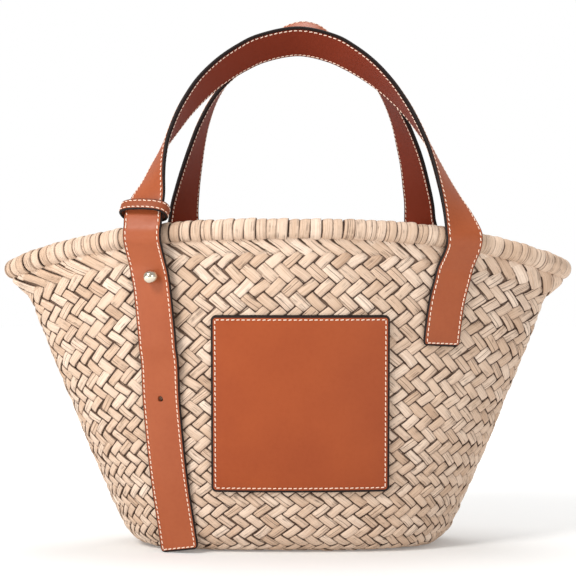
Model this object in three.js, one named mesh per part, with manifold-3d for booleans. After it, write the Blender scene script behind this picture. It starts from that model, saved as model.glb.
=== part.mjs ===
// A small straw basket bag: an open palm-leaf body with a wound rim, two tan leather handles,
// a square leather patch, and a long handle end that runs through a keeper and is held by a stud.
// Millimetres, +Z up. The front faces -Y, and the bag stands on the plane z = 0.
import * as THREE from "three";
import { mergeVertices } from "three/addons/utils/BufferGeometryUtils.js";
import Module from "manifold-3d";

const wasm = await Module();
wasm.setup();

// Straw body and rim
const mouthHalfWidth = 164; // rim's centre line, at its two ends
const mouthHalfDepth = 67.5; // rim's centre line, at front and back
const mouthHeight = 185.5; // rim's centre line, at front and back
const mouthDroop = 22; // how much lower the rim's ends are
const droopPower = 2.7; // how late the droop sets in towards the ends
const wallThickness = 3;
const rimDiameter = 12.5;
const wrapPitch = 8; // one turn of the rim's winding
const wrapRelief = 0.5; // depth of the groove between two turns
const seatGap = 0.3; // clearance between pieces that touch
const weaveGap = 0.6; // clearance of the leather and the rim over the straw's mean face
const leatherGap = 0.5; // clearance between two layers of leather
const rimRoom = 0.5; // more room where a strap bends over the sloping rim

// Leather
const strapWidth = 23;
const strapThickness = 2.6;
const tabWidth = 19;
const patchSize = 101;
const patchThickness = 2.2;
const patchDrop = 99; // patch's centre below the rim's centre line
const leatherCornerRadius = 3;
const frontCentre = 7; // the patch and handles sit a little to the right

// Handles
const handleHalfSpan = 90.7; // front handle, at the rim
const handleRise = 113.3; // front handle's centre line above the rim's
const backHalfSpan = 76;
const backRise = 122;
const crestDepth = 10; // how far each handle's crest stays from the middle plane
const strapEndClearance = 1.2; // the long end stops this far above the floor
const footDrop = 66.5; // sewn ends of the handles and the tab, below the rim's centre line

// Keeper, stud and holes
const keeperHeight = 7;
const keeperThickness = 1.6;
const keeperSideRoom = 1.6;
const keeperFrontDepth = 5.6; // inside, from the loop's middle to its front
const keeperBackDepth = 6;
const keeperSetback = 0.6; // the loop's middle is this far behind the strap's centre line
const keeperTip = 5; // degrees beyond square to the strap, front upwards
const keeperPower = 2.6; // 2 would be an ellipse, more is squarer
const keeperRise = 11; // keeper's centre above the rim's centre line
const studDrop = 27.5; // stud below the rim's centre line
const studHeadRadius = 4.1;
const studCollarRadius = 2.7;
const studCollarHeight = 0.5;
const studShift = 2.6; // towards the middle from the strap's centre line
const studNeckRadius = 1.3;
const spareHoleDrop = 68.3; // spare hole below the stud
const holeRadius = studNeckRadius + seatGap;

// Fineness of the faceted surfaces
const bodyColumns = 72;
const keeperColumns = 40;
const rimSides = 8;
const strapStep = 7;
const tabStep = 3; // finer, where the strap lies over the tab
const patchStep = 10;
const cornerSteps = 3;

// The body's cross-sections from the floor up, along the middle of the wall. rise is a share of the
// wall's height, wide and deep of the mouth's half sizes, droop of the mouth's droop. pinch squares
// the outline off below 0 and draws its ends to a point above 0.
const sections = [
  { rise: 0.0, wide: 0.479, deep: 0.57, droop: 0.0, pinch: -0.42 },
  { rise: 0.017, wide: 0.54, deep: 0.667, droop: 0.02, pinch: -0.42 },
  { rise: 0.056, wide: 0.576, deep: 0.719, droop: 0.03, pinch: -0.38 },
  { rise: 0.123, wide: 0.609, deep: 0.756, droop: 0.136, pinch: -0.3 },
  { rise: 0.235, wide: 0.66, deep: 0.8, droop: 0.227, pinch: -0.18 },
  { rise: 0.402, wide: 0.731, deep: 0.852, droop: 0.364, pinch: -0.05 },
  { rise: 0.57, wide: 0.796, deep: 0.896, droop: 0.527, pinch: 0.06 },
  { rise: 0.737, wide: 0.863, deep: 0.941, droop: 0.664, pinch: 0.17 },
  { rise: 0.872, wide: 0.907, deep: 0.97, droop: 0.909, pinch: 0.26 },
  { rise: 0.95, wide: 0.936, deep: 0.985, droop: 1.045, pinch: 0.32 },
  { rise: 1.0, wide: 1.0, deep: 1.0, droop: 1.0, pinch: 0.38 },
];

// A handle's legs on the wall. rise is a share of the wall's height, and left and right are how far
// out each leg is, as shares of the handle's half span.
const legRows = [
  { rise: 0.08, left: 0.786, right: 0.76 },
  { rise: 0.25, left: 0.834, right: 0.8 },
  { rise: 0.49, left: 0.879, right: 0.842 },
  { rise: 0.62, left: 0.882, right: 0.863 },
  { rise: 0.7, left: 0.893, right: 0.877 },
  { rise: 0.8, left: 0.911, right: 0.903 },
  { rise: 0.87, left: 0.926, right: 0.936 },
  { rise: 0.925, left: 0.947, right: 0.966 },
];

// Where a leg bends over the rim, as angles round the rim's centre line, in degrees above level.
const rimWrapAngles = [-42, -14, 12, 27];

// A handle's free stretch from the rim to its crest. rise is a share of the handle's rise and out of
// its half span. shift leans it sideways, as a share of the half span. turn is the strap's twist in
// degrees, for the left and right leg: 0 is flat to the front, 90 edge-on, and beyond that its inner
// face shows.
const frontRows = [
  { rise: 0.08, out: 0.988, shift: -0.003, turnLeft: 22, turnRight: 46 },
  { rise: 0.16, out: 0.958, shift: -0.01, turnLeft: 37, turnRight: 60 },
  { rise: 0.25, out: 0.923, shift: -0.018, turnLeft: 59, turnRight: 70.5 },
  { rise: 0.35, out: 0.884, shift: -0.026, turnLeft: 74, turnRight: 78.5 },
  { rise: 0.45, out: 0.837, shift: -0.03, turnLeft: 86.5, turnRight: 84.5 },
  { rise: 0.55, out: 0.774, shift: -0.032, turnLeft: 97, turnRight: 91 },
  { rise: 0.65, out: 0.698, shift: -0.034, turnLeft: 105, turnRight: 97.5 },
  { rise: 0.75, out: 0.6, shift: -0.037, turnLeft: 113.5, turnRight: 106.5 },
  { rise: 0.84, out: 0.481, shift: -0.036, turnLeft: 120.5, turnRight: 115.5 },
  { rise: 0.91, out: 0.356, shift: -0.034, turnLeft: 125, turnRight: 122.5 },
  { rise: 0.96, out: 0.235, shift: -0.031, turnLeft: 128, turnRight: 127.5 },
  { rise: 1.0, out: 0.0, shift: -0.02, turnLeft: 129.5, turnRight: 129.5 },
];
const backRows = [
  { rise: 0.08, out: 0.985, shift: 0.006, turnLeft: 42, turnRight: 39 },
  { rise: 0.16, out: 0.972, shift: 0.007, turnLeft: 49, turnRight: 45 },
  { rise: 0.25, out: 0.945, shift: 0.008, turnLeft: 58, turnRight: 51 },
  { rise: 0.35, out: 0.909, shift: 0.01, turnLeft: 66, turnRight: 58 },
  { rise: 0.45, out: 0.864, shift: 0.008, turnLeft: 74, turnRight: 64 },
  { rise: 0.55, out: 0.81, shift: 0.006, turnLeft: 81, turnRight: 72 },
  { rise: 0.65, out: 0.736, shift: 0.004, turnLeft: 88, turnRight: 79 },
  { rise: 0.72, out: 0.664, shift: 0.004, turnLeft: 93, turnRight: 85 },
  { rise: 0.79, out: 0.567, shift: 0.007, turnLeft: 99, turnRight: 92 },
  { rise: 0.86, out: 0.447, shift: 0.008, turnLeft: 106, turnRight: 101 },
  { rise: 0.92, out: 0.31, shift: 0.01, turnLeft: 114, turnRight: 111 },
  { rise: 0.965, out: 0.17, shift: 0.012, turnLeft: 122, turnRight: 121 },
  { rise: 0.99, out: 0.085, shift: 0.017, turnLeft: 125, turnRight: 125 },
  { rise: 1.0, out: 0.0, shift: 0.02, turnLeft: 126, turnRight: 126 },
];

const rimRadius = rimDiameter / 2;
const wallHeight = mouthHeight - rimRadius - weaveGap;
const patchHeight = mouthHeight - patchDrop;
const tabFoot = mouthHeight - footDrop;
const studHeight = mouthHeight - studDrop;
const up = new THREE.Vector3(0, 0, 1);
const towardsFront = new THREE.Vector3(0, -1, 0);
const degrees = Math.PI / 180;
const mix = THREE.MathUtils.lerp;

const leather = new THREE.MeshStandardMaterial({ color: 0xb65a33, roughness: 0.45, metalness: 0 });
const straw = new THREE.MeshStandardMaterial({ color: 0xd6bc9c, roughness: 0.75, metalness: 0 });
const strawRim = new THREE.MeshStandardMaterial({ color: 0xe2cdb4, roughness: 0.7, metalness: 0 });
const polishedMetal = new THREE.MeshStandardMaterial({ color: 0xd8cfc0, roughness: 0.15, metalness: 1 });

// The body's outline

function sectionAt(rise) {
  const above = sections.findIndex((row) => row.rise >= rise);
  if (above <= 0) return above === 0 ? sections[0] : sections.at(-1);
  const low = sections[above - 1];
  const high = sections[above];
  const share = (rise - low.rise) / (high.rise - low.rise);
  const blended = {};
  for (const key of Object.keys(low)) blended[key] = mix(low[key], high[key], share);
  return blended;
}

// A plan outline with half sizes a and b: an ellipse whose ends are squared off or drawn in.
function outlinePoint(angle, a, b, pinch) {
  const c = Math.cos(angle);
  return new THREE.Vector2(a * c, b * Math.sin(angle) * (1 - pinch * c * c));
}

// A point of the wall, offset outwards from its middle.
function wallPoint(angle, rise, offset) {
  const row = sectionAt(rise);
  const halfWidth = mouthHalfWidth * row.wide + offset;
  const halfDepth = mouthHalfDepth * row.deep + offset;
  const { x, y } = outlinePoint(angle, halfWidth, halfDepth, row.pinch);
  const drop = mouthDroop * row.droop * Math.abs(Math.cos(angle)) ** droopPower;
  return new THREE.Vector3(x, y, wallHeight * rise - drop);
}

// The rim's centre line.
function rimPoint(angle) {
  const { x, y } = outlinePoint(angle, mouthHalfWidth, mouthHalfDepth, sections.at(-1).pinch);
  return new THREE.Vector3(x, y, mouthHeight - mouthDroop * Math.abs(Math.cos(angle)) ** droopPower);
}

function frontAngle(x, halfWidth) {
  return -Math.acos(THREE.MathUtils.clamp(x / halfWidth, -1, 1));
}

// The front wall's outer face at a given x and z: a point, the outward normal and the level tangent.
function frontWallAt(x, z) {
  const angleFor = (rise) => frontAngle(x, mouthHalfWidth * sectionAt(rise).wide + wallThickness / 2);
  let low = 0;
  let high = 1;
  for (let i = 0; i < 40; i++) {
    const middle = (low + high) / 2;
    if (wallPoint(angleFor(middle), middle, wallThickness / 2).z < z) low = middle;
    else high = middle;
  }
  const angle = angleFor(low);
  const at = (turn, rise) => wallPoint(angle + turn, rise, wallThickness / 2);
  const small = 0.01;
  const across = at(small, low).sub(at(-small, low));
  const upward = at(0, Math.min(low + small, 1)).sub(at(0, Math.max(low - small, 0)));
  const normal = across.clone().cross(upward).normalize();
  return { point: at(0, low), normal, level: across.setZ(0).normalize() };
}

// The rim's centre at a given x on the front, with its level outward normal and tangent.
function frontRimAt(x) {
  const angle = frontAngle(x, mouthHalfWidth);
  const small = 0.001;
  const level = rimPoint(angle + small).sub(rimPoint(angle - small)).setZ(0).normalize();
  return { point: rimPoint(angle), level, normal: level.clone().cross(up) };
}

// Closed bodies from rows of points

function geometryOf(positions, triangles) {
  const geometry = new THREE.BufferGeometry();
  geometry.setAttribute("position", new THREE.Float32BufferAttribute(positions, 3));
  geometry.setIndex(triangles);
  return geometry;
}

function signedVolume(points, triangles) {
  let sum = 0;
  for (let i = 0; i < triangles.length; i += 3) {
    const [a, b, c] = [points[triangles[i]], points[triangles[i + 1]], points[triangles[i + 2]]];
    sum += a.dot(b.clone().cross(c));
  }
  return sum / 6;
}

// Faces are turned outwards, whichever way round the rows were given.
function closedBody(points, triangles) {
  if (signedVolume(points, triangles) < 0) triangles.reverse();
  return geometryOf(points.flatMap((p) => p.toArray()), triangles);
}

// Skins a list of rings that all have the same number of points. An endless body joins its last ring
// to its first, and any other gets a fan over each end ring.
function ringBody(rings, endless = false) {
  const size = rings[0].length;
  const points = rings.flat();
  const triangles = [];
  const steps = endless ? rings.length : rings.length - 1;
  for (let i = 0; i < steps; i++) {
    const next = (i + 1) % rings.length;
    for (let k = 0; k < size; k++) {
      const a = i * size + k;
      const b = i * size + ((k + 1) % size);
      const c = next * size + ((k + 1) % size);
      const d = next * size + k;
      triangles.push(a, b, c, a, c, d);
    }
  }
  if (!endless) {
    for (const [ring, flip] of [[0, true], [rings.length - 1, false]]) {
      const centre = rings[ring].reduce((sum, p) => sum.add(p), new THREE.Vector3()).divideScalar(size);
      const hub = points.push(centre) - 1;
      for (let k = 0; k < size; k++) {
        const a = ring * size + k;
        const b = ring * size + ((k + 1) % size);
        triangles.push(...(flip ? [hub, b, a] : [hub, a, b]));
      }
    }
  }
  return closedBody(points, triangles);
}

// A sheet with an outer and an inner face, given as rows of points: faces, edges and both ends.
function sheetBody(outerRows, innerRows) {
  const width = outerRows[0].length;
  const last = outerRows.length - 1;
  const points = [...outerRows.flat(), ...innerRows.flat()];
  const inner = outerRows.length * width;
  const triangles = [];
  const quad = (a, b, c, d) => triangles.push(a, b, c, a, c, d);
  for (let i = 0; i < last; i++) {
    const a = i * width;
    const b = a + width;
    for (let k = 0; k < width - 1; k++) {
      quad(a + k, a + k + 1, b + k + 1, b + k);
      quad(inner + b + k, inner + b + k + 1, inner + a + k + 1, inner + a + k);
    }
    quad(a, b, inner + b, inner + a);
    quad(b + width - 1, a + width - 1, inner + a + width - 1, inner + b + width - 1);
  }
  for (let k = 0; k < width - 1; k++) {
    const top = last * width + k;
    quad(k + 1, k, inner + k, inner + k + 1);
    quad(top, top + 1, inner + top + 1, inner + top);
  }
  return closedBody(points, triangles);
}

// Booleans

function solidOf(geometry) {
  const plain = geometry.index ? geometry.toNonIndexed() : geometry.clone();
  plain.deleteAttribute("normal");
  plain.deleteAttribute("uv");
  const merged = mergeVertices(plain);
  return new wasm.Manifold(
    new wasm.Mesh({
      numProp: 3,
      vertProperties: merged.attributes.position.array,
      triVerts: new Uint32Array(merged.index.array),
    }),
  );
}

function cut(geometry, cutters) {
  const solid = cutters.reduce((left, cutter) => left.subtract(solidOf(cutter)), solidOf(geometry));
  const { vertProperties, triVerts } = solid.getMesh();
  return geometryOf([...vertProperties], [...triVerts]);
}

// A round cutter or pin of the given radius and length, centred on a point along a direction.
function rod(point, direction, radius, length) {
  const turn = new THREE.Quaternion().setFromUnitVectors(new THREE.Vector3(0, 1, 0), direction);
  return new THREE.CylinderGeometry(radius, radius, length, 16).applyQuaternion(turn).translate(...point);
}

// Straw pieces

function basketBody() {
  const ring = (rise, offset, lift = 0) =>
    Array.from({ length: bodyColumns }, (_, k) => {
      const point = wallPoint((k / bodyColumns) * 2 * Math.PI, rise, offset);
      return point.setZ(point.z + lift);
    });
  const outer = sections.map((row) => ring(row.rise, wallThickness / 2));
  const inner = sections
    .filter((row) => row.rise * wallHeight > wallThickness || row.rise === 0)
    .map((row) => ring(row.rise, -wallThickness / 2, row.rise === 0 ? wallThickness : 0));
  return ringBody([...outer, ...inner.reverse()]);
}

function woundRim() {
  const fine = 720;
  const lengths = [0];
  for (let i = 1; i <= fine; i++) {
    const step = rimPoint((i / fine) * 2 * Math.PI).distanceTo(rimPoint(((i - 1) / fine) * 2 * Math.PI));
    lengths.push(lengths[i - 1] + step);
  }
  const steps = 4 * Math.round(lengths[fine] / wrapPitch / 2);
  const rings = Array.from({ length: steps }, (_, i) => {
    const reach = (i / steps) * lengths[fine];
    const past = lengths.findIndex((length) => length > reach);
    const angle = ((past - (lengths[past] - reach) / (lengths[past] - lengths[past - 1])) / fine) * 2 * Math.PI;
    const centre = rimPoint(angle);
    const along = rimPoint(angle + 0.001).sub(rimPoint(angle - 0.001)).normalize();
    const outward = along.clone().cross(up).normalize();
    const upward = outward.clone().cross(along);
    const radius = rimRadius - (i % 2 ? wrapRelief : 0);
    return Array.from({ length: rimSides }, (_, k) => {
      const turn = (k / rimSides) * 2 * Math.PI;
      return centre
        .clone()
        .addScaledVector(outward, radius * Math.cos(turn))
        .addScaledVector(upward, radius * Math.sin(turn));
    });
  });
  return ringBody(rings, true);
}

// Strap paths. A path is a list of stations, each a point on the strap's centre line and the
// direction across it, from its outer edge to the edge nearer the middle.

function legRowAt(rise) {
  const above = legRows.findIndex((row) => row.rise > rise);
  const [low, high] = [legRows[above - 1], legRows[above]];
  const share = (rise - low.rise) / (high.rise - low.rise);
  return { rise, left: mix(low.left, high.left, share), right: mix(low.right, high.right, share) };
}

function legStations(handle, side, foot, lift) {
  const across = (out) => handle.centre + side * handle.halfSpan * out;
  const key = side < 0 ? "left" : "right";
  const rows = [...legRows, legRowAt(tabFoot / wallHeight)];
  const onWall = rows.filter((row) => row.rise * wallHeight >= foot).sort((a, b) => a.rise - b.rise);
  const stations = onWall.map((row) => {
    const z = wallHeight * row.rise;
    const wall = frontWallAt(across(row[key]), z);
    return { point: wall.point.addScaledVector(wall.normal, lift(z)), across: wall.level };
  });
  if (foot < stations[0].point.z) {
    const [low, next] = legRows;
    const drop = foot - stations[0].point.z;
    const slope = (next[key] - low[key]) / (next.rise - low.rise) / wallHeight;
    const fall = new THREE.Vector3(side * handle.halfSpan * slope * drop, 0, drop);
    const end = { point: stations[0].point.clone().add(fall), across: stations[0].across.clone() };
    stations.unshift(end);
  }
  const rim = frontRimAt(across(handle.rimOut[key]));
  for (const angle of rimWrapAngles) {
    const reach = rimRadius + rimRoom + lift(mouthHeight);
    const point = rim.point
      .clone()
      .addScaledVector(rim.normal, reach * Math.cos(angle * degrees))
      .addScaledVector(up, reach * Math.sin(angle * degrees));
    stations.push({ point, across: rim.level.clone() });
  }
  for (const station of stations) station.across.multiplyScalar(-side * Math.sign(station.across.x));
  return stations;
}

// The free stretch of one leg, from the rim to just short of the crest, or to the crest itself.
function freeStations(handle, side, start) {
  const crestHeight = mouthHeight + handle.rise;
  return handle.rows.map((row) => {
    const z = mouthHeight + handle.rise * row.rise;
    const lean = (z - start.point.z) / (crestHeight - start.point.z);
    const x = handle.centre + handle.halfSpan * (side * row.out + row.shift);
    const turn = (side < 0 ? row.turnLeft : row.turnRight) * degrees;
    return { point: new THREE.Vector3(x, mix(start.point.y, -crestDepth, lean), z), turn };
  });
}

// The whole handle from its left foot over the crest to its right foot, mirrored later for the back.
function handleStations(handle) {
  const left = legStations(handle, -1, handle.leftFoot, handle.leftLift);
  const right = legStations(handle, 1, tabFoot, handle.rightLift);
  const leftFree = freeStations(handle, -1, left.at(-1));
  const rightFree = freeStations(handle, 1, right.at(-1));
  for (const station of [...left, ...leftFree.slice(0, 2)]) station.fine = station.point.z > tabFoot - 1;
  return [...left, ...leftFree, ...rightFree.slice(0, -1).reverse(), ...right.reverse()];
}

// Smooth frames along stations: centre, across, along and outward normal. Where a station gives a
// turn instead of a direction, the strap is turned from flat to the front towards edge-on and over.
function framesAlong(stations) {
  const centres = new THREE.CatmullRomCurve3(stations.map((s) => s.point), false, "centripetal");
  const last = stations.length - 1;
  const directions = stations.map((station, i) => {
    if (station.across) return station.across;
    const along = centres.getTangent(i / last);
    const outward = new THREE.Vector3(-along.z, 0, along.x).normalize();
    return outward.multiplyScalar(-Math.cos(station.turn)).addScaledVector(towardsFront, Math.sin(station.turn));
  });
  const turns = new THREE.CatmullRomCurve3(directions, false, "catmullrom", 0.5);
  const frames = [];
  for (let i = 0; i < last; i++) {
    const step = stations[i].fine ? tabStep : strapStep;
    const steps = Math.ceil(stations[i].point.distanceTo(stations[i + 1].point) / step);
    for (let k = 0; k < steps; k++) frames.push((i + k / steps) / last);
  }
  frames.push(1);
  return frames.map((t) => {
    const along = centres.getTangent(t);
    const across = turns.getPoint(t).addScaledVector(along, -turns.getPoint(t).dot(along)).normalize();
    return { centre: centres.getPoint(t), along, across, outward: across.clone().cross(along) };
  });
}

// How much narrower a sheet with rounded corners is on each side, at a distance from its end.
function cornerInset(distance) {
  const short = Math.max(leatherCornerRadius - distance, 0);
  return leatherCornerRadius - Math.sqrt(leatherCornerRadius ** 2 - short ** 2);
}

// Extra rows that round the corners of a sheet, as distances from its end.
const cornerDistances = Array.from(
  { length: cornerSteps + 1 },
  (_, i) => leatherCornerRadius * (1 - Math.cos(((i / cornerSteps) * Math.PI) / 2)),
);

function frameBetween(a, b, share) {
  const blended = {};
  for (const key of ["centre", "along", "across", "outward"]) blended[key] = a[key].clone().lerp(b[key], share);
  return blended;
}

// A flat strap along frames, with rounded corners at the ends named in roundEnds.
function strapGeometry(frames, width, thickness, offset = 0, roundEnds = [true, true]) {
  const rows = frames.slice(1, -1).map((frame) => ({ frame, inset: 0 }));
  const endRows = (end, next, round) => {
    const reach = end.centre.distanceTo(next.centre);
    if (!round) return [{ frame: end, inset: 0 }];
    return cornerDistances.map((distance) => ({
      frame: frameBetween(end, next, distance / reach),
      inset: cornerInset(distance),
    }));
  };
  rows.unshift(...endRows(frames[0], frames[1], roundEnds[0]));
  rows.push(...endRows(frames.at(-1), frames.at(-2), roundEnds[1]).reverse());
  const face = (height) =>
    rows.map(({ frame, inset }) =>
      [-1, 0, 1].map((edge) =>
        frame.centre
          .clone()
          .addScaledVector(frame.across, edge * (width / 2 - inset))
          .addScaledVector(frame.outward, offset + height),
      ),
    );
  return sheetBody(face(thickness / 2), face(-thickness / 2));
}

function frameAtHeight(frames, height) {
  const above = frames.findIndex((frame) => frame.centre.z >= height);
  const low = frames[above - 1];
  const high = frames[above];
  return frameBetween(low, high, (height - low.centre.z) / (high.centre.z - low.centre.z));
}

// Leather and metal pieces

const sewnLift = weaveGap + strapThickness / 2;
const overTabLift = sewnLift + strapThickness + leatherGap;
const tabOffset = -(strapThickness + leatherGap);
const tabLap = 20; // the long end comes down to the wall over this length below the tab

function longEndLift(z) {
  const share = THREE.MathUtils.clamp((z - (tabFoot - tabLap)) / tabLap, 0, 1);
  return mix(sewnLift, overTabLift, share);
}

const frontHandle = {
  rows: frontRows,
  centre: frontCentre + 1,
  halfSpan: handleHalfSpan,
  rise: handleRise,
  rimOut: { left: 0.957, right: 0.985 },
  leftFoot: strapEndClearance,
  leftLift: longEndLift,
  rightLift: () => sewnLift,
};
const backHandle = {
  rows: backRows,
  centre: frontCentre + 1,
  halfSpan: backHalfSpan,
  rise: backRise,
  rimOut: { left: 0.965, right: 0.975 },
  leftFoot: tabFoot,
  leftLift: () => sewnLift,
  rightLift: () => sewnLift,
};

const frontFrames = framesAlong(handleStations(frontHandle));
const studFrame = frameAtHeight(frontFrames, studHeight);
studFrame.centre.addScaledVector(studFrame.across, studShift);
const spareHoleFrame = frameAtHeight(frontFrames, studHeight - spareHoleDrop);
const keeperFrame = frameAtHeight(frontFrames, mouthHeight + keeperRise);

function holeThrough(frame) {
  const depth = 4 * strapThickness;
  return rod(frame.centre, frame.outward, holeRadius, depth);
}

function frontHandleStrap() {
  const strap = strapGeometry(frontFrames, strapWidth, strapThickness);
  return cut(strap, [studFrame, spareHoleFrame].map(holeThrough));
}

// The same frame on the back of the bag.
function mirroredToBack(frame) {
  const opposite = new THREE.Vector3(1, -1, 1);
  const mirrored = {};
  for (const key of Object.keys(frame)) mirrored[key] = frame[key].clone().multiply(opposite);
  return mirrored;
}

function backHandleStrap() {
  const frames = framesAlong(handleStations(backHandle)).map(mirroredToBack);
  return strapGeometry(frames, strapWidth, strapThickness);
}

// The short tab under the long end: from its sewn foot over the rim to the keeper.
function anchorTab() {
  const top = keeperFrame.centre.z + keeperHeight / 2;
  const crest = frontFrames.findIndex((frame) => frame.centre.z > top);
  const under = frontFrames.slice(0, crest).filter((frame) => frame.centre.z > tabFoot);
  const frames = [frameAtHeight(frontFrames, tabFoot), ...under, frameAtHeight(frontFrames, top)];
  const tab = strapGeometry(frames, tabWidth, strapThickness, tabOffset);
  return cut(tab, [holeThrough(studFrame)]);
}

// A closed leather band round the strap and the tab: a rounded loop, fuller at the front than at the
// back, tipped a little beyond square to the strap.
function keeperLoop() {
  const { centre, along, across } = keeperFrame;
  const outward = across.clone().cross(along);
  const tip = keeperTip * degrees;
  const front = outward.clone().multiplyScalar(Math.cos(tip)).addScaledVector(along, Math.sin(tip));
  const axis = front.clone().cross(across).normalize();
  const halfWidth = strapWidth / 2 + keeperSideRoom;
  const middle = centre.clone().addScaledVector(front, -keeperSetback);
  const rounded = (value) => Math.sign(value) * Math.abs(value) ** (2 / keeperPower);
  const rings = Array.from({ length: keeperColumns }, (_, i) => {
    const angle = (i / keeperColumns) * 2 * Math.PI;
    const depth = Math.sin(angle) > 0 ? keeperFrontDepth : keeperBackDepth;
    const corner = (grow, height) =>
      middle
        .clone()
        .addScaledVector(across, (halfWidth + grow) * rounded(Math.cos(angle)))
        .addScaledVector(front, (depth + grow) * rounded(Math.sin(angle)))
        .addScaledVector(axis, height / 2);
    return [
      corner(0, -keeperHeight),
      corner(keeperThickness, -keeperHeight),
      corner(keeperThickness, keeperHeight),
      corner(0, keeperHeight),
    ];
  });
  return ringBody(rings, true);
}

function patch() {
  const rowDistances = [...cornerDistances];
  const middleSteps = Math.round((patchSize - 2 * leatherCornerRadius) / patchStep);
  for (let i = 1; i < middleSteps; i++) {
    rowDistances.push(leatherCornerRadius + ((patchSize - 2 * leatherCornerRadius) * i) / middleSteps);
  }
  rowDistances.push(...cornerDistances.map((distance) => patchSize - distance).reverse());
  const columns = Math.round(patchSize / patchStep);
  const face = (height) =>
    rowDistances.map((distance) => {
      const half = patchSize / 2 - cornerInset(Math.min(distance, patchSize - distance));
      return Array.from({ length: columns + 1 }, (_, k) => {
        const x = frontCentre + half * ((2 * k) / columns - 1);
        const wall = frontWallAt(x, patchHeight + distance - patchSize / 2);
        return wall.point.addScaledVector(wall.normal, height);
      });
    });
  return sheetBody(face(weaveGap + patchThickness), face(weaveGap));
}

// A ball head on a collar, with a neck down through the strap and the tab.
function stud() {
  const seat = strapThickness / 2 + seatGap;
  const neckLength = strapThickness * 2 + leatherGap + seatGap;
  const ballCentre = studCollarHeight + studHeadRadius * 0.9;
  const arc = new THREE.Path().absarc(0, ballCentre, studHeadRadius, -Math.PI / 3, Math.PI / 2);
  const profile = [
    new THREE.Vector2(0, -neckLength),
    new THREE.Vector2(studNeckRadius, -neckLength),
    new THREE.Vector2(studNeckRadius, 0),
    new THREE.Vector2(studCollarRadius, 0),
    new THREE.Vector2(studCollarRadius, studCollarHeight / 2),
    ...arc.getPoints(7).slice(0, -1),
    new THREE.Vector2(0, ballCentre + studHeadRadius),
  ];
  const turned = new THREE.Quaternion().setFromUnitVectors(new THREE.Vector3(0, 1, 0), studFrame.outward);
  const seatPoint = studFrame.centre.clone().addScaledVector(studFrame.outward, seat);
  return new THREE.LatheGeometry(profile, 14).applyQuaternion(turned).translate(...seatPoint);
}

const bag = new THREE.Group();

function add(name, geometry, material) {
  const mesh = new THREE.Mesh(geometry, material);
  mesh.name = name;
  bag.add(mesh);
}

add("basket_body", basketBody(), straw);
add("wound_rim", woundRim(), strawRim);
add("front_handle", frontHandleStrap(), leather);
add("back_handle", backHandleStrap(), leather);
add("anchor_tab", anchorTab(), leather);
add("keeper_loop", keeperLoop(), leather);
add("front_patch", patch(), leather);
add("handle_stud", stud(), polishedMetal);

export default bag;
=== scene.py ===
import math

import bpy
import numpy as np
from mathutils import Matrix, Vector


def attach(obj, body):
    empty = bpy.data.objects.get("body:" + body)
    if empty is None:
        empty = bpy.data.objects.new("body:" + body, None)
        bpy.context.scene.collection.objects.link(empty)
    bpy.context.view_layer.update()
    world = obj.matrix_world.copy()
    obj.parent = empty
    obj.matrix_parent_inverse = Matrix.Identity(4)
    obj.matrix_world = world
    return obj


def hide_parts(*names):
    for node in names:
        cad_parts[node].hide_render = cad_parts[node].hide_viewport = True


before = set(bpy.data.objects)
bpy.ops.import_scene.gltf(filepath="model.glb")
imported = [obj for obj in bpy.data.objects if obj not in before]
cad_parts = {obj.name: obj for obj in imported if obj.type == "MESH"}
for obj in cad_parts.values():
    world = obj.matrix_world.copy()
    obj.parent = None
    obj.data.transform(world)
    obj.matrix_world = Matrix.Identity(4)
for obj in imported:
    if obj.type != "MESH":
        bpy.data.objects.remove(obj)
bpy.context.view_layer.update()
random = np.random.default_rng(41)

# Shape of the bag

# Metres. The wall's cross-sections run from the turned-under foot to the rim: rise is a share of the
# wall's height, wide and deep of the mouth's half sizes, droop of the mouth's droop.
bag = {
    "mouthHalfWidth": 0.164,
    "mouthHalfDepth": 0.0675,
    "mouthHeight": 0.1855,
    "mouthDroop": 0.022,
    "droopPower": 2.7,
    "wallHeight": 0.17865,
    "wallHalf": 0.0015,
    "rimRadius": 0.00625,
    # rise, wide, deep, droop and pinch
    "sections": np.array([
        (0.000, 0.479, 0.570, 0.000, -0.42),
        (0.017, 0.540, 0.667, 0.020, -0.42),
        (0.056, 0.576, 0.719, 0.030, -0.38),
        (0.123, 0.609, 0.756, 0.136, -0.30),
        (0.235, 0.660, 0.800, 0.227, -0.18),
        (0.402, 0.731, 0.852, 0.364, -0.05),
        (0.570, 0.796, 0.896, 0.527, 0.06),
        (0.737, 0.863, 0.941, 0.664, 0.17),
        (0.872, 0.907, 0.970, 0.909, 0.26),
        (0.950, 0.936, 0.985, 1.045, 0.32),
        (1.000, 1.000, 1.000, 1.000, 0.38),
    ]),
}


# Scales each row of an array to length one.
def unit(vectors):
    return vectors / np.linalg.norm(vectors, axis=-1, keepdims=True)


# Plan outline: x is the half width times the cosine of the angle, y the half depth times its sine,
# times one less the pinch times the squared cosine. z falls by the droop times a power of the cosine.
def wallPoint(angle, row, outset=0.0):
    rise, wide, deep, droop, pinch = np.moveaxis(row, -1, 0)
    c, s = np.cos(angle), np.sin(angle)
    x = (bag["mouthHalfWidth"] * wide + outset) * c
    y = (bag["mouthHalfDepth"] * deep + outset) * s * (1 - pinch * c * c)
    z = bag["wallHeight"] * rise - bag["mouthDroop"] * droop * np.abs(c) ** bag["droopPower"]
    return np.stack(np.broadcast_arrays(x, y, z), axis=-1)


# The rim's centre line, with the same outline as the top of the wall.
def rimPoint(angle):
    point = wallPoint(angle, bag["sections"][-1])
    point[..., 2] += bag["mouthHeight"] - bag["wallHeight"]
    return point


# Straight lines between the table's rows.
def sectionAt(rise):
    table = bag["sections"]
    return np.stack([np.interp(rise, table[:, 0], column) for column in table.T], axis=-1)


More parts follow.
